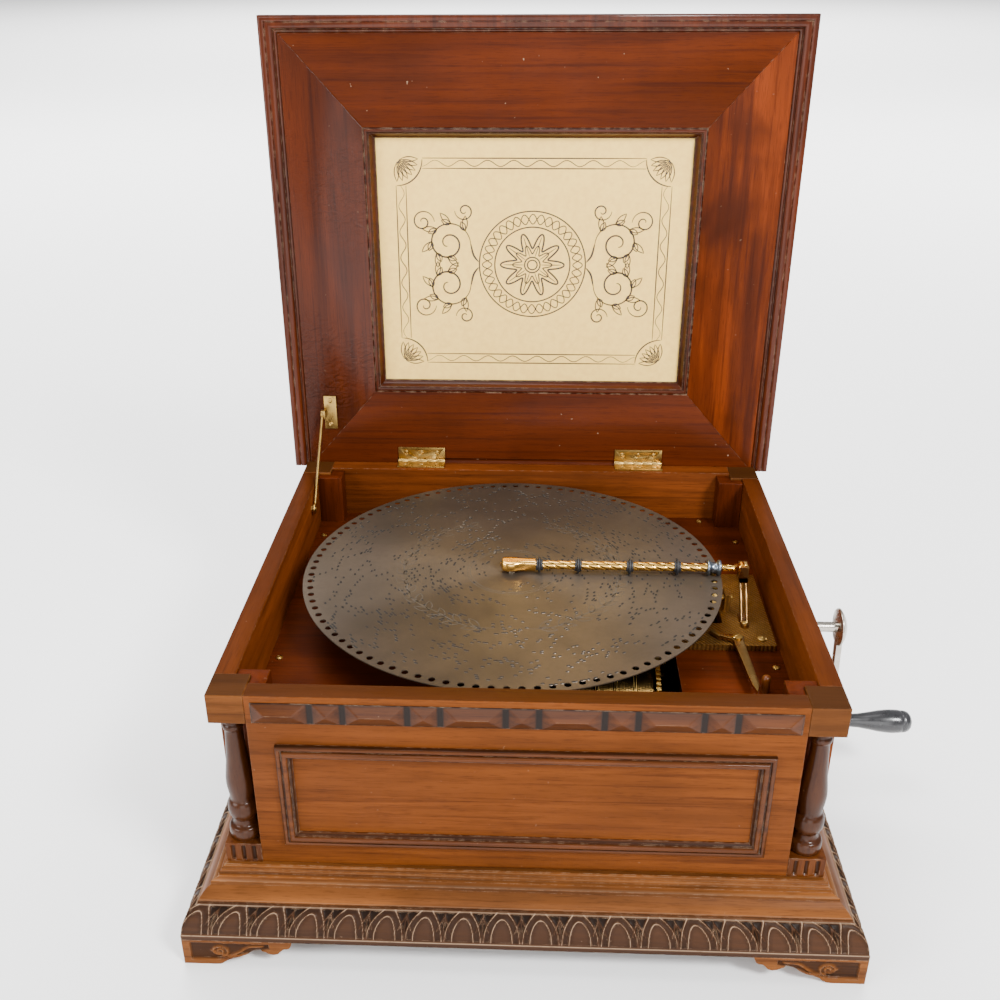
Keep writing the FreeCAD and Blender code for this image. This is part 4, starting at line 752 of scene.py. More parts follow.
# Outline of a column: radius and height, as shares of the greatest radius and of the height.
COLUMN_CURVE = [(0, 0), (0.93, 0), (0.95, 0.004), (0.96, 0.012), (0.965, 0.018), (0.99, 0.022), (1, 0.04),
        (1, 0.06), (0.985, 0.078), (0.93, 0.092), (0.86, 0.098), (0.76, 0.102), (0.69, 0.112), (0.65, 0.13),
        (0.64, 0.145), (0.67, 0.158), (0.72, 0.163), (0.82, 0.178), (0.9, 0.2), (0.93, 0.225), (0.93, 0.25),
        (0.9, 0.275), (0.83, 0.295), (0.75, 0.305), (0.715, 0.309), (0.71, 0.325), (0.735, 0.345),
        (0.78, 0.38), (0.825, 0.42), (0.842, 0.455), (0.83, 0.49), (0.79, 0.53), (0.72, 0.59),
        (0.655, 0.65), (0.605, 0.72), (0.565, 0.79), (0.535, 0.85), (0.528, 0.878), (0.55, 0.886),
        (0.61, 0.892), (0.635, 0.903), (0.635, 0.915), (0.61, 0.926), (0.55, 0.931), (0.53, 0.938),
        (0.53, 0.955), (0.6, 0.962), (0.68, 0.967), (0.69, 0.975), (0.69, 1), (0, 1)]


class MUSICBOX_OT_columns(Step, Operator):
    """Make the four turned columns, their fluted plinths and their cap blocks"""
    bl_idname = "musicbox.columns"
    bl_label = "Corner columns"

    def build(self, context, look):
        low, high = corners("turned_columns")
        block_low, block_high = corners("column_plinths_and_caps")
        wide = corners("front_panel")[0][0] - block_low[0]
        radius = wide / 2 - (low[0] - block_low[0])
        curve = np.array(COLUMN_CURVE) * [radius, high[2] - low[2]]
        turned, plinths, shades_and_wear, caps = [], [], [], []
        for x in (block_low[0] + wide / 2, block_high[0] - wide / 2):
            for y in (block_low[1] + wide / 2, block_high[1] - wide / 2):
                turned.append(lathe(curve, (x, y, low[2]), "Z", 56))
                caps.append(block((x - wide / 2, y - wide / 2, high[2]),
                        (x + wide / 2, y + wide / 2, block_high[2])))
                plinth, shade_and_wear = self.fluted(x, y, wide / 2, block_low[2], low[2])
                plinths.append(plinth)
                shades_and_wear.append(shade_and_wear)
        piece("turned_corner_columns", turned, "case", look["column"], ["turned_columns"], 50)
        piece("fluted_plinths", plinths, "case", look["plinth"], ["column_plinths_and_caps"], 30,
              marks={"carved": np.concatenate(shades_and_wear)})
        cap = piece("cap_blocks", caps, "case", look["cap"], (), 30)
        bevelled(cap, 0.8)

    def fluted(self, x, y, half, low, high, depth=1.6):
        """A square block whose four faces have three round grooves: along each face the outline steps
        in by a half cosine wherever it crosses a groove, at mid height only."""
        along = np.linspace(-1, 1, 61)[:-1]
        wave = np.clip(np.cos((along * 3.4) * np.pi) - 0.2, 0, 0.8) ** 0.5 / 0.9 * (np.abs(along) < 0.75)
        rings, levels = [], ((0, 0), (0.06, 0), (0.12, 1), (0.84, 1), (0.9, 0), (1, 0))
        for share, deep in levels:
            side = np.column_stack([along * half, wave * deep * depth - half])
            ring = np.concatenate([side @ spin(quarter * np.pi / 2) for quarter in range(4)])
            rings.append(np.column_stack([ring + [x, y], np.full(len(ring), low + share * (high - low))]))
        # Painted shade: the flutes are marked darker than the flat faces.
        shade_and_wear = np.array([0.72 - 0.5 * deep * np.tile(wave, 4) for _, deep in levels])
        return loft(rings), shade_and_wear.ravel()


def framed(low, high, section, plane_y, toward):
    """A moulding mitred round a rectangle that stands in X and Z: the section, pairs of inset and
    height, is carried to each corner along its diagonal."""
    section = np.asarray(section, float)
    rings = []
    for x, z, step_x, step_z in ((low[0], low[2], 1, 1), (high[0], low[2], -1, 1),
                                 (high[0], high[2], -1, -1), (low[0], high[2], 1, -1)):
        rings.append(np.column_stack([x + step_x * section[:, 0], plane_y + toward * section[:, 1],
                                      z + step_z * section[:, 0]]))
    return loft(rings, loop=True)


# Sections of the mouldings: inset from the outer edge, height above the board, in millimetres.
FRAME_SECTION = [(0, 0), (0, 2.6), (0.5, 3.6), (1.5, 4.4), (2.7, 4.5), (3.6, 3.9), (4.0, 3.0), (4.8, 2.9),
        (5.2, 3.5), (5.6, 4.9), (6.5, 5.8), (7.8, 6.0), (8.9, 5.5), (9.5, 4.5), (9.8, 3.2), (10.7, 3.0),
        (11.2, 3.1), (11.8, 2.5), (12.4, 1.4), (13, 1.0), (13, 0)]
BEAD_SECTION = [(0, 0), (0.6, 0.9), (1.2, 0.9), (1.5, -0.3), (2.4, -0.6), (3.5, -0.5), (4.2, 0.1),
        (4.6, 1.5), (5.2, 1.9), (5.8, 2.1), (6.6, 3.6), (7.6, 5.4), (8.8, 6.9), (9.8, 7.6), (10.2, 8.3),
        (10.3, 9.2), (11, 9.5), (11, 11.4), (0, 11.4)]


class MUSICBOX_OT_front(Step, Operator):
    """Make the front's framed moulding and its rail carved with pyramids"""
    bl_idname = "musicbox.front"
    bl_label = "Front dressing"

    def build(self, context, look):
        low, high = corners("front_frame_moulding")
        # Painted shade: the moulding's feet and grooves are marked darker, its high beads lighter.
        shade_and_wear = [0.4 if rise < 1.5 else 0.2 + 0.56 * np.clip((rise - 2.7) / 2.2, 0, 1)
                for _, rise in FRAME_SECTION]
        piece("front_frame_profile", [framed(low, high, FRAME_SECTION, high[1], -1)], "case", look["frame_x"],
              ["front_frame_moulding"], 40, marks={"carved": np.tile(shade_and_wear, 4)})
        self.rail(look["rail_x"], context.scene.box_carving.rail_groups)

    def rail(self, material, groups):
        """The rail: blocks hipped towards all four edges, the height of each point being the least of
        its distances from the edges of its block times the slope there."""
        low, high = corners("carved_rail")
        tall, deep = high[2] - low[2], high[1] - low[1]
        centre = (low[0] + high[0]) / 2 - 1.5
        pitch, apart, notch = 76.5, 25.8, 4.0
        marks = [low[0] - notch / 2]
        for group in range(groups):
            middle_of = centre + (group - (groups - 1) / 2) * pitch
            marks += [middle_of - apart / 2, middle_of + apart / 2]
        marks.append(high[0] + notch / 2)
        steps, beside = 520, np.array([-2.05, -1.95, 1.95, 2.05])
        along = np.unique(np.concatenate([np.linspace(low[0], high[0], steps)]
                                         + [mark + beside for mark in marks[1:-1]]))
        rows = np.linspace(0, 1, 25)
        height = np.zeros((len(along), len(rows)))
        for left, right in zip(marks[:-1], marks[1:]):
            start, end = left + notch / 2, right - notch / 2
            from_end = np.minimum(along - start, end - along)[:, None]
            from_edge = (np.minimum(rows, 1 - rows) * tall)[None]
            roof = np.minimum(from_end * tall / (apart - notch), from_edge) * 0.86 * deep / (tall / 2)
            height = np.maximum(height, np.where(from_end >= 0, roof, 0))
        rise = 0.14 * deep + height
        front = np.stack([np.broadcast_to(along[:, None], rise.shape), high[1] - rise,
                          np.broadcast_to(low[2] + rows[None] * tall, rise.shape)], axis=-1)
        back = np.stack([np.repeat(along[:, None], 2, axis=1), np.full((len(along), 2), high[1]),
                         np.tile([high[2], low[2]], (len(along), 1))], axis=-1)
        # Painted shade: the notches and the low edges of the blocks are marked near black, the peaks lighter.
        shade_and_wear = np.concatenate([np.interp(height / deep, [0, 0.1, 0.5, 0.74, 0.86],
                [0.08, 0.5, 0.66, 0.72, 0.78]), np.full((len(along), 2), 0.5)], axis=1)
        piece("pyramid_rail", [loft(np.concatenate([front, back], axis=1))], "case", material,
                ["carved_rail"], 25, marks={"carved": shade_and_wear})


class MUSICBOX_OT_case(Step, Operator):
    """Round the edges of the case's boards and give them their grain"""
    bl_idname = "musicbox.case"
    bl_label = "Case boards"

    def build(self, context, look):
        for node, name, width in (("front_panel", "front_x", 0.8), ("back_panel", "back_x", 0.8),
                                  ("left_panel", "side_y", 0.8), ("right_panel", "side_y", 0.8),
                                  ("corner_posts", "posts", 1.0), ("deck_board", "deck", 0.5),
                                  ("bottom_board", "deck", 0.5)):
            rounded(node, look[name], width)


# Lid

# Section of the lid's edge: distance outwards from the boards, depth behind the boards' face.
EDGE_SECTION = [(0, 0.4), (0.5, -0.6), (1.2, -1.1), (2.2, -1.1), (2.9, -0.5), (3.4, -0.1), (4.0, -0.1),
        (4.5, -1.2), (5.2, -2.2), (6.4, -2.75), (9.4, -2.75), (10.4, -2.5), (10.8, -1.7), (11.5, -1.6),
        (11.9, -2.4), (12.8, -2.75), (15.2, -2.75), (16.6, -2.4), (17.5, -1.5), (17.8, -0.2), (17.8, 8.8),
        (17.4, 10.6), (16.4, 12.0), (14.6, 12.8), (12.6, 13.1), (12.2, 14.2), (11.6, 15.4), (0, 15.4)]


class MUSICBOX_OT_lid(Step, Operator):
    """Make the lid's edge mouldings and the bead round its picture, and finish its boards"""
    bl_idname = "musicbox.lid"
    bl_label = "Lid"

    def build(self, context, look):
        for node, name, width in (("lid_board_back", "lid_x", 0.5), ("lid_board_front", "lid_x", 0.5),
                                  ("lid_board_left", "lid_left", 0.5), ("lid_board_right", "lid_right", 0.5),
                                  ("lid_top_panel", "lid_top", 1.5)):
            rounded(node, look[name], width)
        left_low, left_high = corners("lid_edge_left")
        right_low = corners("lid_edge_right")[0]
        front_low, front_high = corners("lid_edge_front")
        section = np.array(EDGE_SECTION)
        wide = section[:, 0].max()
        side = section[:, 0] / wide * (left_high[0] - left_low[0])
        over = section[:, 0] / wide * (front_high[2] - front_low[2])
        depth = corners("lid_board_front")[0][1] + section[:, 1]
        rings = []
        for x, z, step_x, step_z in ((left_high[0], left_low[2], -1, 0), (left_high[0], front_low[2], -1, 1),
                                     (right_low[0], front_low[2], 1, 1), (right_low[0], right_low[2], 1, 0)):
            rings.append(np.column_stack([x + step_x * side, depth, z + step_z * over]))
        # Painted shade: the grooves and the inner edge against the boards are marked darker.
        shade_and_wear = np.interp(section[:, 1], [-2.75, -1.9, -1.0, 0.4], [0.72, 0.66, 0.45, 0.3])
        shade_and_wear[section[:, 1] > 0.5] = 0.72
        piece("lid_edge_profile", [loft(rings)], "lid", look["edge_z"],
                ["lid_edge_left", "lid_edge_right", "lid_edge_front"], 40,
                marks={"carved": np.tile(shade_and_wear, 4)})
        low, high = corners("picture_bead")
        # Painted shade: the bead's groove and its foot are marked darker.
        shade_and_wear = np.interp([depth for _, depth in BEAD_SECTION], [-0.6, 0.5, 1.7, 2.2, 6, 9.5],
                         [0.74, 0.5, 0.3, 0.74, 0.7, 0.3])
        piece("picture_bead_profile", [framed(low, high, BEAD_SECTION, low[1], 1)], "lid", look["bead_x"],
              ["picture_bead"], 40, marks={"carved": np.tile(shade_and_wear, 4)})


def inked(points, width, plane_y, rise=0.12):
    """An ink line: a flat strip along a path in X and Z, its edges half a width to either side, tapered
    to a third at its ends, and a little proud of the board."""
    points = np.asarray(points, float)
    closed = np.hypot(*(points[0] - points[-1])) < 1e-6
    if closed:
        points = points[:-1]
        ahead = np.roll(points, -1, axis=0) - np.roll(points, 1, axis=0)
    else:
        ahead = np.gradient(points, axis=0)
    ahead /= np.hypot(ahead[:, :1], ahead[:, 1:]) + 1e-9
    side = np.column_stack([-ahead[:, 1], ahead[:, 0]])
    share = np.linspace(0, 1, len(points))
    taper = np.ones(len(points)) if closed else 0.34 + 0.66 * np.sin(np.pi * share) ** 0.6
    half = (0.5 * width * taper)[:, None]
    left, right = points + side * half, points - side * half
    ring = [np.insert(edge, 1, plane_y - up, axis=1) for edge, up in
            ((left, -0.05), (right, -0.05), (right, rise), (left, rise))]
    return loft(np.stack(ring, axis=1), loop=closed)


def leaf(root, angle, long, wide):
    """A pointed leaf's outline: half its width follows a sine arch along its length, and the middle
    bends aside with the square of the length."""
    reach = np.concatenate([np.linspace(0, 1, 9), np.linspace(1, 0, 9)[1:]])
    half = np.concatenate([np.ones(9), -np.ones(8)]) * np.sin(np.pi * reach) * wide / 2
    return np.column_stack([reach * long, half + 0.12 * long * reach ** 2]) @ spin(angle) + root


def swirl(centre, radius, turns, start):
    """A spiral that winds inwards and backwards: the radius falls evenly with the angle."""
    angle = np.linspace(0, 2 * np.pi * turns, int(40 * turns))
    return polar(radius * (1 - 0.86 * angle / angle[-1]), start + angle) * [-1, 1] + centre


class MUSICBOX_OT_picture(Step, Operator):
    """Finish the picture panel with a plain drawn ornament of rosette, fans and scrolls"""
    bl_idname = "musicbox.picture"
    bl_label = "Picture"

    def build(self, context, look):
        looks = context.scene.box_picture
        low, high = corners("picture_panel")
        centre = np.array([(low[0] + high[0]) / 2, (low[2] + high[2]) / 2])
        line = looks.line / MM
        face = low[1]
        lines = []

        def draw(points, width=1.0, mirrored=True):
            """Adds a line given about the centre, and its mirror image."""
            points = np.asarray(points, float)
            for flip in ((1, -1) if mirrored else (1,)):
                lines.append(inked(points * [flip, 1] + centre, line * width, face))

        turn = np.linspace(0, 2 * np.pi, 241)
        for radius, wave, lobes, width in ((25, 8, 10, 1.5), (16, 4.5, 10, 1.0), (5, 0, 0, 1.2),
                (8, 0, 0, 1.2), (39, 0, 0, 1.2), (55, 0, 0, 1.2), (47, 5, 18, 0.9), (47, -5, 18, 0.9)):
            draw(polar(radius + wave * np.cos(lobes * turn), turn), width, False)
        for angle in circle(10):
            draw(polar(np.linspace(9, 30, 12), angle), 0.8, False)
        self.scrolls(draw)
        self.corner_fans(draw)
        piece("lid_ornament", lines, "lid", look["ink"], (), 60)

    def scrolls(self, draw):
        """Scrolls that curl outwards above and below beside the rosette, with leaves along them."""
        for up in (1, -1):
            draw(through([(56, 3), (61, 10), (64, 22)], 10) * [1, up], 1.8)
            curl = swirl((87, 22), 23, 1.7, 0)
            draw(curl * [1, up], 1.6)
            draw(swirl((113, 44), 12, 1.5, 0) * [1, up], 1.3)
            draw(swirl((70, 55), 10, 1.4, np.pi) * [1, up], 1.3)
            for at in range(4, 34, 5):
                step = curl[at + 1] - curl[at]
                lean = math.atan2(step[1], step[0])
                for side, long in ((0.7, 15), (0.25, 10)):
                    draw(leaf(curl[at], lean + side, long, 5.5) * [1, up], 0.9)

    def corner_fans(self, draw):
        """A fan of seven petals in each corner, joined by a border of two lines with a wave between."""
        wide, tall, corner = 138, 106, 26
        for up in (1, -1):
            for ray in range(7):
                angle = np.pi + up * np.pi / 2 * ray / 6
                root = np.array([wide, tall * up])
                out = np.array([np.cos(angle), np.sin(angle)])
                across = np.array([-out[1], out[0]])
                reach = np.linspace(0, 1, 12)[:, None]
                for bend in (-2.4, 2.4):
                    draw(root + out * (4 + 18 * reach) + across * bend * np.sin(np.pi * reach), 0.9)
            arc = np.linspace(np.pi, np.pi + up * np.pi / 2, 24)
            for radius in (3.5, corner):
                draw(polar(radius, arc, (wide, tall * up)), 1.3)
            across = np.linspace(-(wide - corner), wide - corner, 121)
            for offset in (-5, 5):
                draw(np.column_stack([across, np.full(121, (tall + offset - 4) * up)]), 1.1, False)
            draw(np.column_stack([across, (tall - 4) * up + 3 * np.sin(across / 4.2)]), 0.8, False)
        rise = np.linspace(-(tall - corner), tall - corner, 101)
        for offset in (-5, 5):
            draw(np.column_stack([np.full(101, wide + offset - 4), rise]), 1.1)
        draw(np.column_stack([wide - 4 + 3 * np.sin(rise / 4.2), rise]), 0.8)


# Hinges, stay and screws


def separate_solids(node):
    """The boxes, in millimetres, of the separate solids of a node of the frame, by their low corners."""
    shape = bmesh.new()
    shape.from_mesh(frame["nodes"][node].data)
    bmesh.ops.remove_doubles(shape, verts=shape.verts, dist=1e-6)
    left, boxes = set(shape.verts), []
    while left:
        front, found = [left.pop()], []
        while front:
            vert = front.pop()
            found.append(vert.co[:])
            for edge in vert.link_edges:
                other = edge.other_vert(vert)
                if other in left:
                    left.discard(other)
                    front.append(other)
        points = np.array(found) / MM
        boxes.append((points.min(0), points.max(0)))
    shape.free()
    return sorted(boxes, key=lambda box: box[0].tolist())


def screw_head(low, high, angle):
    """A slotted round head in a screw's box: rings whose height falls as a circle's does towards
    the rim, less the slot's depth within its width."""
    extent = high - low
    upright = abs(extent[0] - extent[1]) < 0.05
    radius = extent[0] / 2
    tall = extent[2] if upright else extent[1]
    share = np.array([0, 0.3, 0.55, 0.75, 0.9, 1.0])
    turn = circle(40)
    reach = radius * share[:, None]
    crown = 0.35 * min(tall, radius)
    across = np.abs(reach * np.sin(turn[None] - angle))
    level = tall - crown * share[:, None] ** 2 - np.where(across < 0.16 * radius, 0.45 * crown + 0.25, 0)
    top = np.stack([reach * np.cos(turn), reach * np.sin(turn), np.broadcast_to(level, across.shape)],
            axis=-1)
    foot = np.stack([radius * np.cos(turn), radius * np.sin(turn), np.zeros(40)], axis=-1)[None]
    rings = np.concatenate([top, foot])
    if upright:
        return loft(rings + [(low[0] + high[0]) / 2, (low[1] + high[1]) / 2, low[2]])
    flat = np.stack([rings[..., 0], -rings[..., 2], rings[..., 1]], axis=-1)
    return loft(flat + [(low[0] + high[0]) / 2, high[1], (low[2] + high[2]) / 2])


class MUSICBOX_OT_fittings(Step, Operator):
    """Make the slotted screws, the lid stay and the brass plates"""
    bl_idname = "musicbox.fittings"
    bl_label = "Hinges, stay and screws"

    def build(self, context, look):
        random = np.random.default_rng(5)
        for node, name, body in (("case_screws", "slotted_case_screws", "case"),
                                 ("lid_screws", "slotted_lid_screws", "lid")):
            heads = [screw_head(low, high, random.uniform(0, np.pi)) for low, high in separate_solids(node)]
            piece(name, heads, body, look["brass"], [node], 30)
        for node in ("hinge_leaves_rim", "hinge_leaves_lid", "stay_plate"):
            rounded(node, look["brass"], 0.25)
        self.stay(look["brass"])

    def stay(self, material):
        """The stay: a round rod between a flat eye on the lid and an open hook on the case's pin."""
        low, high = corners("lid_stay")
        pin = middle("stay_pin")
        x = (low[0] + high[0]) / 2
        eye = np.array([high[1] - 4.5, high[2] - 4.5])
        hook = np.array([pin[1], pin[2]])
        ahead = (hook - eye) / np.hypot(*(hook - eye))
        start, end = eye + ahead * 4.0, hook - ahead * 4.6
        share = np.linspace(0, 1, 30)[:, None]
        line = start + (end - start) * share
        rod = tube(np.column_stack([np.full(30, x), line]), 1.35 + 0.1 * np.cos(2 * np.pi * share[:, 0]), 14)
        ring = lathe(both_ways([(2.05, 1.2), (4.3, 1.2), (4.5, 1.0)]), (x, eye[0], eye[1]), "X", 36,
                bored=True)
        opening = math.atan2(-0.39, 1.37)
        span = np.linspace(opening + 0.62, opening + 2 * np.pi - 0.62, 40)[:, None]
        section = np.array([(2.55, -1.2), (5.2, -1.2), (5.5, -0.8), (5.5, 0.8), (5.2, 1.2), (2.55, 1.2)])
        claw = np.stack([np.broadcast_to(x + section[None, :, 1], (40, 6)),
                         hook[0] + section[None, :, 0] * np.cos(span),
                         hook[1] + section[None, :, 0] * np.sin(span)], axis=-1)
        piece("hooked_stay", [rod, ring, loft(claw)], "stay", material, ["lid_stay"], 40)


# Disc and hold-down arm


class MUSICBOX_OT_disc(Step, Operator):
    """Finish the disc and punch its runs of notes"""
    bl_idname = "musicbox.disc"
    bl_label = "Tune disc"

    def build(self, context, look):
        looks = context.scene.box_disc
        low, high = corners("music_disc")
        centre, radius, top = middle("music_disc"), (high[0] - low[0]) / 2, high[2]
        first, last = (corner[0] - centre[0] for corner in corners("star_wheels"))
        tracks = np.linspace(first, last + 0.12 * radius, 64)
        random = np.random.default_rng(11)
        track, angle = [], []
        for phrase in range(looks.phrases):
            at = int(len(tracks) * random.uniform(0, 1) ** 0.62)
            where, count = random.uniform(0, 2 * np.pi), random.integers(1, 6)
            drift = random.integers(-2, 3)
            for step in range(count):
                track.append(np.clip(at + drift * step, 0, len(tracks) - 1))
                angle.append(where + step * random.choice([5.2, 6.5, 9.0]) / tracks[track[-1]])
        reach, turn = tracks[np.array(track)], np.array(angle)
        lean = turn + np.pi / 2
        slit, rise = looks.slit / MM, looks.raised / MM
        # The slits are flat near-black patches laid just over the disc's face: painted shade where the
        # punched holes open.
        self.punched("disc_slits", polar(reach, turn, centre), lean, slit / 2, 0.9, top + 0.05, top + 0.06,
                look["slit"])
        self.punched("disc_burrs", polar(reach + 1.0, turn, centre), lean, slit * 0.42, 0.34, top - 0.2,
                top + rise, look["disc"])
        self.wreath(centre, radius, top, look["stamp"])
        materials = frame["nodes"]["music_disc"].data.materials
        materials.clear()
        materials.append(look["disc"])

    def wreath(self, centre, radius, top, material):
        """A plain stamped wreath: two branches follow a circle from the bottom to the top, the circle's
        radius waving a little, with pairs of pointed leaves."""
        lines = []

        def stamp(points, width):
            """Adds a line given about the spindle, laid flat on the disc's face."""
            verts, faces = inked(points + centre[:2], width, -top, 0.06)
            lines.append((verts[:, [0, 2, 1]] * [1, 1, -1], faces))

        for side in (-1, 1):
            turn = np.radians(np.linspace(-82, 66, 90))
            reach = radius * (0.52 + 0.012 * np.sin(9 * turn))
            stamp(polar(reach, turn) * [side, 1], 1.5)
            for number, at in enumerate(turn[4::6]):
                for lean in (-0.55, 0.55):
                    outline = leaf(polar(0.52 * radius, at)[0], at + np.pi / 2 + lean, 17 - 0.35 * number,
                            6.0)
                    stamp(outline * [side, 1], 0.85)
        turn = np.linspace(0, 2 * np.pi, 121)
        for share in (0.2, 0.215):
            stamp(polar(share * radius, turn), 0.8)
        piece("disc_wreath", lines, "disc", material, (), 60)

    def punched(self, name, spot, lean, half_long, half_wide, foot, ridge, material):
        """One small ridge for every note: six points round its foot and two on the ridge."""
        along = polar(1, lean)[:, None]
        across = along[..., ::-1] * [-1, 1]
        base = np.array([(-1, 0), (-0.6, -1), (0.6, -1), (1, 0), (0.6, 1), (-0.6, 1), (-0.55, 0), (0.55, 0)])
        plan = spot[:, None] + along * base[None, :, :1] * half_long + across * base[None, :, 1:] * half_wide
        height = np.array([foot] * 6 + [ridge] * 2)
        points = np.concatenate([plan, np.broadcast_to(height[None, :, None], plan.shape[:2] + (1,))],
                axis=-1)
        faces = [[0, 1, 6], [1, 2, 7, 6], [2, 3, 7], [3, 4, 7], [4, 5, 6, 7], [5, 0, 6], [5, 4, 3, 2, 1, 0]]
        parts = [(points[number], faces) for number in range(len(points))]
        piece(name, parts, "disc", material, (), 70)


class MUSICBOX_OT_arm(Step, Operator):
    """Make the hold-down arm: gilt head, twisted rod, rollers and grooved collar"""
    bl_idname = "musicbox.arm"
    bl_label = "Hold-down arm"

    def build(self, context, look):
        low, high = corners("hold_down_arm")
        collar_low, collar_high = corners("arm_collar")
        axis = middle("arm_collar")
        wheel = (collar_high[2] - collar_low[2]) / 2
        rod_end = high[0] - 12
        rod, flutes = self.twisted(low[0] + 31, rod_end, axis, collar_high[0])
        spot = np.array([low[0] + 9.5, axis[1], high[2] - 0.3])
        parts = [rod, self.head(low, axis, high[2]),
                 screw_head(spot - [3.4, 3.4, 0], spot + [3.4, 3.4, 1.1], 1.9),
                 lathe(both_ways([(2.05, 3.5), (4.9, 3.5), (5.4, 3.0)]), (high[0] - 5.5, axis[1], axis[2]),
                       "Y", 36, bored=True),
                 block((rod_end - 2, axis[1] - 3.3, axis[2] - 2.6),
                       (high[0] - 7.5, axis[1] + 3.3, axis[2] + 2.6))]
        hollow = [flutes.ravel()] + [np.zeros(len(part[0])) for part in parts[1:]]
        piece("gilt_arm", parts, "arm", look["gold"], ["hold_down_arm"], 40,
              marks={"hollow": np.concatenate(hollow)})
        screw = screw_head(np.array([low[0] + 7.5, axis[1] - 3.2, high[2] - 0.9]),
                           np.array([low[0] + 13.9, axis[1] + 3.2, high[2] + 0.5]), 0.5)
        piece("arm_head_screw", [screw], "arm", look["gold"], (), 30)
        roller = both_ways([(4.3, 3.2), (5.0, 3.2), (5.3, 2.9), (5.4, 1.5), (5.9, 1.1), (7.0, 0.9),
                (wheel, 0.5)])
        for number in range(1, 5):
            node = f"arm_roller_{number}"
            piece(f"roller_{number}_wheel", [lathe(roller, middle(node), "X", 48, bored=True)],
                    f"roller_{number}", look["roller"], [node], 35)
        half = (collar_high[0] - collar_low[0]) / 2
        profile = both_ways([(4.3, half), (5.6, half), (wheel - 0.5, half - 0.3), (wheel, half - 1),
                             (wheel, half - 2.4), (wheel - 0.6, half - 3.1), (5.8, half - 3.6), (5.1, 1.6)])
        piece("grooved_collar", [lathe(profile, middle("arm_collar"), "X", 48, bored=True)], "collar",
              look["blued"], ["arm_collar"], 50)

    def twisted(self, start, end, axis, thin_from):
        """The rod: round, with flutes whose angle grows evenly along it. The radius falls by the
        flute's depth where the angle to the nearest flute is small."""
        flutes, lead, depth, radius, thinner = 4, 42, 0.55, 4.15, 1.1
        along = np.arange(start, end, 1.0)[:, None]
        turn = circle(84)[None]
        flute = np.cos(flutes * (turn - along / lead * 2 * np.pi) / 2)
        hollow = np.exp(-((1 - flute ** 2) / 0.14))
        radius = radius - thinner * np.clip((along - thin_from) / 1.5, 0, 1) - depth * hollow
        return loft(np.stack([np.broadcast_to(along, radius.shape), axis[1] + radius * np.cos(turn),
                              axis[2] + radius * np.sin(turn)], axis=-1)), hollow

    def head(self, low, axis, top):
        """The head: upright ovals along the arm, square-cornered a little, whose half widths follow
        a pear shape."""
        curve = through([(0, 0.4), (1.2, 4.4), (4, 7.0), (8, 8.3), (13, 8.2), (18, 6.6), (24, 5.1), (29, 4.7),
                         (33, 4.9)], 6)
        deep = (top - low[2]) / 2
        lift = np.clip(curve[:, 0] / 2.5, 0.25, 1)[:, None]
        ring = polar(1, circle(48))
        ring = np.sign(ring) * np.abs(ring) ** 0.62
        across, rise = ring[:, 0] * curve[:, 1:], ring[:, 1] * deep * lift
        along = np.broadcast_to(low[0] + curve[:, :1], across.shape)
        return loft(np.stack([along, axis[1] + across, (top + low[2]) / 2 + rise], axis=-1))


# Works that show: bedplate, strut, lever, peg, barrel and crank


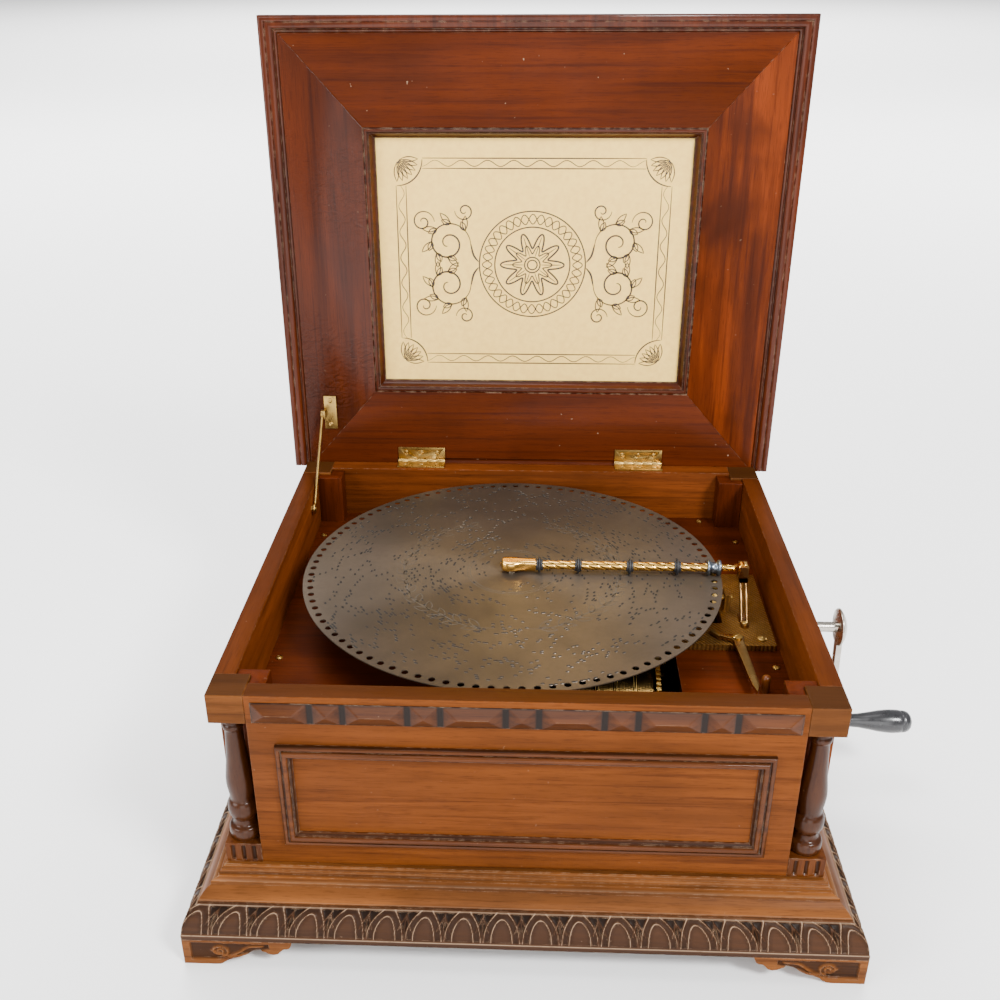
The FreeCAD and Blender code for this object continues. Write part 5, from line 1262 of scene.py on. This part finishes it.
class MUSICBOX_OT_works(Step, Operator):
    """Finish the bedplate, strut, lever, peg, barrel and motor plates"""
    bl_idname = "musicbox.works"
    bl_label = "Works"

    def build(self, context, look):
        for node, name, width in (("bedplate", "bronze", 0.8), ("start_lever", "aged", 0.7),
                ("motor_plates", "aged", 0.5), ("comb", "steel", 0.2)):
            rounded(node, look[name], width)
        self.strut(look["strut"])
        self.barrel(look["shell"])
        low, high = corners("stop_peg")
        radius, tall = (high[0] - low[0]) / 2, high[2] - low[2]
        profile = np.array([(0, 0), (1, 0), (1, 0.2), (0.9, 0.5), (1, 0.72), (0.98, 0.85), (0.75, 0.95),
                (0.35, 0.995), (0, 1)]) * [radius, tall]
        piece("wooden_peg", [lathe(profile, (*middle("stop_peg")[:2], low[2]), "Z", 32)], "case",
              look["peg"], ["stop_peg"], 50)

    def strut(self, material):
        """The arm's leaning strut: two round bars from a rounded foot up to a forked head."""
        low, high = corners("arm_bracket")
        bed = low[2]
        x, y, z = (low[0] + high[0]) / 2, middle("arm_collar")[1], middle("arm_collar")[2]
        path = through([(y - 29.5, bed + 1.6), (y - 26, bed + 4.5), (y - 13, bed + (z - bed) * 0.5),
                        (y - 4, z - 13), (y - 1, z - 9)], 10)
        bars = [tube(np.column_stack([np.full(len(path), x + side), path]), 1.45, 14) for side in (-2.5, 2.5)]
        turn = np.linspace(0, np.pi, 16)
        outline = np.concatenate([[(-3.9, y - 14.2), (3.9, y - 14.2)], polar(3.9, -turn, (0, y - 33))])
        foot = loft([np.column_stack([x + outline[:, 0] * inset, outline[:, 1],
                                      np.full(len(outline), bed + level)])
                     for inset, level in ((1, 0), (1, 2.2), (0.86, 3.0))])
        fork = [block((x - 4, y + near, z - 11.8), (x + 4, y + far, z + 4))
                for near, far in ((-6.8, -3.9), (3.9, 6.8))]
        fork.append(block((x - 4, y - 6.8, z - 12), (x + 4, y + 6.8, z - 7.2)))
        pin = lathe([(0, 0), (1.8, 0), (2.6, 0.3), (2.6, 13), (1.8, 13.4), (0, 13.4)], (x, y - 6.7, z), "Y",
                20)
        screw = screw_head(np.array([x - 2.6, y - 35.6, bed + 2.9]),
                np.array([x + 2.6, y - 30.4, bed + 4.4]), 0.8)
        thing = piece("arm_strut", bars + [foot, pin, screw] + fork, "case", material, ["arm_bracket"],
                      40)
        bevelled(thing, 0.5, 50)

    def barrel(self, material):
        """A turned shell over the spring barrel: round beads over its rings with fine grooves between,
        the radius being that of the drum plus the height of the nearest bead."""
        start, long = corners("spring_barrel")[0][0], 72.0
        mid = middle("mainspring")
        spring_low, spring_high = corners("mainspring")
        drum = (spring_high[2] - spring_low[2]) / 2 + 2.8
        along = np.linspace(0.2, long - 0.2, 260)
        radius = drum + 0.12 + 0.1 * np.cos(along * 2 * np.pi / 1.4)
        for share in (0, 0.24, 0.48, 0.72):
            away = (along - share * long - 1.5) / 2.0
            radius = np.maximum(radius, drum + 1.75 * np.sqrt(np.clip(1 - away ** 2, 0, 1)))
        outline = np.concatenate([[(drum - 0.5, 0.2)], np.column_stack([radius, along]),
                [(drum - 0.5, long - 0.2)]])
        piece("ribbed_barrel", [lathe(outline, (start, mid[1], mid[2]), "X", 72, bored=True)], "barrel",
                material, (), 40)


# Outline of the grip: distance along it and radius, as shares of its length and greatest radius.
GRIP_CURVE = [(0, 0.53), (0.03, 0.55), (0.05, 0.52), (0.2, 0.54), (0.32, 0.6), (0.45, 0.74), (0.58, 0.9),
        (0.68, 0.98), (0.75, 1.0), (0.82, 0.985), (0.86, 0.95), (0.866, 0.92), (0.874, 0.94), (0.9, 0.93),
        (0.906, 0.9), (0.914, 0.91), (0.95, 0.82), (0.98, 0.6), (0.995, 0.34), (1, 0.28)]


class MUSICBOX_OT_crank(Step, Operator):
    """Make the crank: domed hub, arm and turned grip"""
    bl_idname = "musicbox.crank"
    bl_label = "Crank"

    def build(self, context, look):
        low, high = corners("crank_arm")
        hub = middle("crank_shaft")
        grip_low, grip_high = corners("crank_grip")
        grip = middle("crank_grip")
        face, hub_radius = low[0], (high[2] - hub[2])
        back = grip_low[0] - 0.3
        thick = back - face
        profile = np.array([(0, 0), (0.9, 0), (0.97, 0.5), (1, 1.4), (1, 2.4), (0.97, 3.1), (0.93, 3.3),
                (0.9, 3.8), (0.8, 5.2), (0.62, 6.8), (0.42, 8.0), (0.2, 8.8), (0, 9.0)]) * [hub_radius, 1]
        dome = lathe(profile, (face, hub[1], hub[2]), "X", 72)
        run = np.array([grip[1] - hub[1], grip[2] - hub[2]])
        share = np.linspace(0.1, 1, 16)[:, None]
        line = np.array([hub[1], hub[2]]) + run * share
        ahead = run / np.hypot(*run)
        side = np.array([-ahead[1], ahead[0]])
        half = (5.6 - 1.2 * np.sin(np.pi * share[:, 0]))[:, None]
        oval = through([(-1, -0.6), (-0.8, -1), (0.8, -1), (1, -0.6), (1, 0.6), (0.8, 1), (-0.8, 1),
                (-1, 0.6)], 2)
        rings = [np.column_stack([face + thick / 2 + oval[:, 1] * thick / 2,
                                  line[step] + np.outer(oval[:, 0] * half[step, 0], side)])
                 for step in range(len(line))]
        boss = lathe([(0, 0), (7.4, 0), (8, 0.6), (8, thick - 0.6), (7.4, thick), (0, thick)],
                     (face, grip[1], grip[2]), "X", 40)
        pin = lathe([(0, 0), (2.95, 0), (2.95, grip_high[0] - back - 9), (0, grip_high[0] - back - 9)],
                    (back - 1, grip[1], grip[2]), "X", 24)
        piece("crank_with_hub", [dome, loft(rings), boss, pin], "crank", look["nickel"], ["crank_arm"],
                40)
        curve = np.array(GRIP_CURVE)
        long, wide = grip_high[0] - grip_low[0], (grip_high[2] - grip_low[2]) / 2
        outline = np.column_stack([curve[:, 1] * wide, curve[:, 0] * long])
        outline = np.concatenate([[(3.05, 0)], outline, [(3.05, long)]])
        piece("black_grip", [lathe(outline, (grip_low[0], grip[1], grip[2]), "X", 56, bored=True)], "grip",
              look["grip"], ["crank_grip"], 30)


# Finishes of the frame's own nodes, by material slot.
SLOT_FINISH = {"walnut": "side_y", "dark_walnut": "cap", "picture_board": "paper", "disc_steel": "disc",
               "polished_steel": "steel", "brass": "brass", "bronze_paint": "bronze", "black_iron": "iron",
               "nickel": "nickel", "black_rubber": "roller", "ebony": "grip"}


class MUSICBOX_OT_remaining(Step, Operator):
    """Give every node that is still shown as it is its finish"""
    bl_idname = "musicbox.remaining"
    bl_label = "Other parts"

    def build(self, context, look):
        for name, node in frame["nodes"].items():
            if not node.hide_render:
                node.data.materials.clear()
                node.data.materials.append(look[SLOT_FINISH[SLOTS[name]]])
                node.data.polygons.foreach_set("use_smooth", np.ones(len(node.data.polygons), bool))
                node.data.set_sharp_from_angle(angle=math.radians(30))


# Stage


class MUSICBOX_OT_stage(Step, Operator):
    """Make the pale floor, the soft lights and the camera"""
    bl_idname = "musicbox.stage"
    bl_label = "Stage"

    def build(self, context, look):
        looks = context.scene.box_stage
        case = middle("base_moulding_sides") * MM
        mesh = bpy.data.meshes.new("floor")
        mesh.from_pydata([(-30, -30, 0), (30, -30, 0), (30, 30, 0), (-30, 30, 0)], [], [(0, 1, 2, 3)])
        mesh.materials.append(Recipe("pale_floor", looks.floor).done(Roughness=0.85))
        floor = bpy.data.objects.new("floor", mesh)
        context.scene.collection.objects.link(floor)
        for name, power, size, where, aim in (
                ("key", looks.key, 0.6, (1.3, -1.5, 2.1), (0, 0, 0.25)),
                ("fill", looks.fill, 1.2, (-1.9, -1.4, 1.2), (0, 0, 0.25)),
                ("top", looks.fill * 0.8, 1.2, (-0.4, 0.2, 2.4), (0, 0, 0.2)),
                ("low", looks.fill * 0.6, 1.4, (0.1, -2.4, 0.6), (0, 0, 0.15)),
                ("backdrop_left", looks.backdrop, 3.0, (-2.2, 3.4, 2.8), (-2.2, 3.6, 0)),
                ("backdrop_right", looks.backdrop, 3.0, (2.2, 3.4, 2.8), (2.2, 3.6, 0)),
                ("backdrop_far", looks.backdrop * 12, 9.0, (0, 11, 7), (0, 11.5, 0))):
            self.light(name, power, size, where, aim, case)
        world = bpy.data.worlds.new("surround")
        world.use_nodes = True
        background = world.node_tree.nodes["Background"].inputs
        background["Color"].default_value = (1, 1, 1, 1)
        background["Strength"].default_value = looks.sky
        context.scene.world = world
        self.camera(context, looks, case)

    def light(self, name, power, size, where, aim, case):
        lamp = bpy.data.lights.new(name, "AREA")
        lamp.energy, lamp.size = power, size
        thing = bpy.data.objects.new(name, lamp)
        start, end = Vector(where), Vector(aim)
        facing = (end - start).to_track_quat("-Z", "Y").to_matrix().to_4x4()
        thing.matrix_world = Matrix.Translation(start + Vector((case[0], case[1], 0))) @ facing
        thing.visible_glossy = not name.startswith("backdrop")
        bpy.context.scene.collection.objects.link(thing)

    def camera(self, context, looks, case):
        """The camera: it looks forwards and down by the pitch, turned by the yaw, then rolled."""
        pitch, yaw, roll = looks.pitch, looks.yaw, looks.roll
        ahead = np.array([math.sin(yaw) * math.cos(pitch), math.cos(yaw) * math.cos(pitch), -math.sin(pitch)])
        right = np.array([math.cos(yaw), -math.sin(yaw), 0])
        down = np.cross(ahead, right)
        side = math.cos(roll) * right + math.sin(roll) * down
        below = -math.sin(roll) * right + math.cos(roll) * down
        turn = Matrix(np.column_stack([side, -below, -ahead]).tolist()).to_4x4()
        lens = bpy.data.cameras.new("photo_view")
        lens.lens, lens.sensor_width = looks.focal, 36
        lens.shift_x, lens.shift_y = LENS_SHIFT
        camera = bpy.data.objects.new("photo_view", lens)
        camera.matrix_world = Matrix.Translation(Vector(CAMERA_PLACE) + Vector((case[0], case[1], 0))) @ turn
        context.scene.collection.objects.link(camera)
        context.scene.camera = camera


STEPS = (MUSICBOX_OT_stage, MUSICBOX_OT_base, MUSICBOX_OT_feet, MUSICBOX_OT_columns, MUSICBOX_OT_front,
         MUSICBOX_OT_case, MUSICBOX_OT_lid, MUSICBOX_OT_picture, MUSICBOX_OT_fittings, MUSICBOX_OT_disc,
         MUSICBOX_OT_arm, MUSICBOX_OT_works, MUSICBOX_OT_crank, MUSICBOX_OT_remaining)
LOOKS = {"box_walnut": WalnutLooks, "box_metal": MetalLooks, "box_carving": CarvingSizes,
         "box_picture": PictureLooks, "box_disc": DiscLooks, "box_stage": StageLooks}


class MUSICBOX_PT_panel(Panel):
    """Lists the looks and the steps that build the music box"""
    bl_label = "Music Box"
    bl_space_type = "VIEW_3D"
    bl_region_type = "UI"
    bl_category = "Music Box"

    def draw(self, context):
        for name, group in LOOKS.items():
            box = self.layout.box()
            for item in group.__annotations__:
                box.prop(getattr(context.scene, name), item)
        for step in STEPS:
            self.layout.operator(step.bl_idname)


def register():
    for group in (*LOOKS.values(), *STEPS, MUSICBOX_PT_panel):
        bpy.utils.register_class(group)
    for name, group in LOOKS.items():
        setattr(bpy.types.Scene, name, PointerProperty(type=group))


def unregister():
    for name in LOOKS:
        delattr(bpy.types.Scene, name)
    for group in reversed((*LOOKS.values(), *STEPS, MUSICBOX_PT_panel)):
        bpy.utils.unregister_class(group)


def main():
    """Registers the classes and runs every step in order."""
    register()
    for step in STEPS:
        family, name = step.bl_idname.split(".")
        getattr(getattr(bpy.ops, family), name)()


if __name__ == "__main__":
    main()
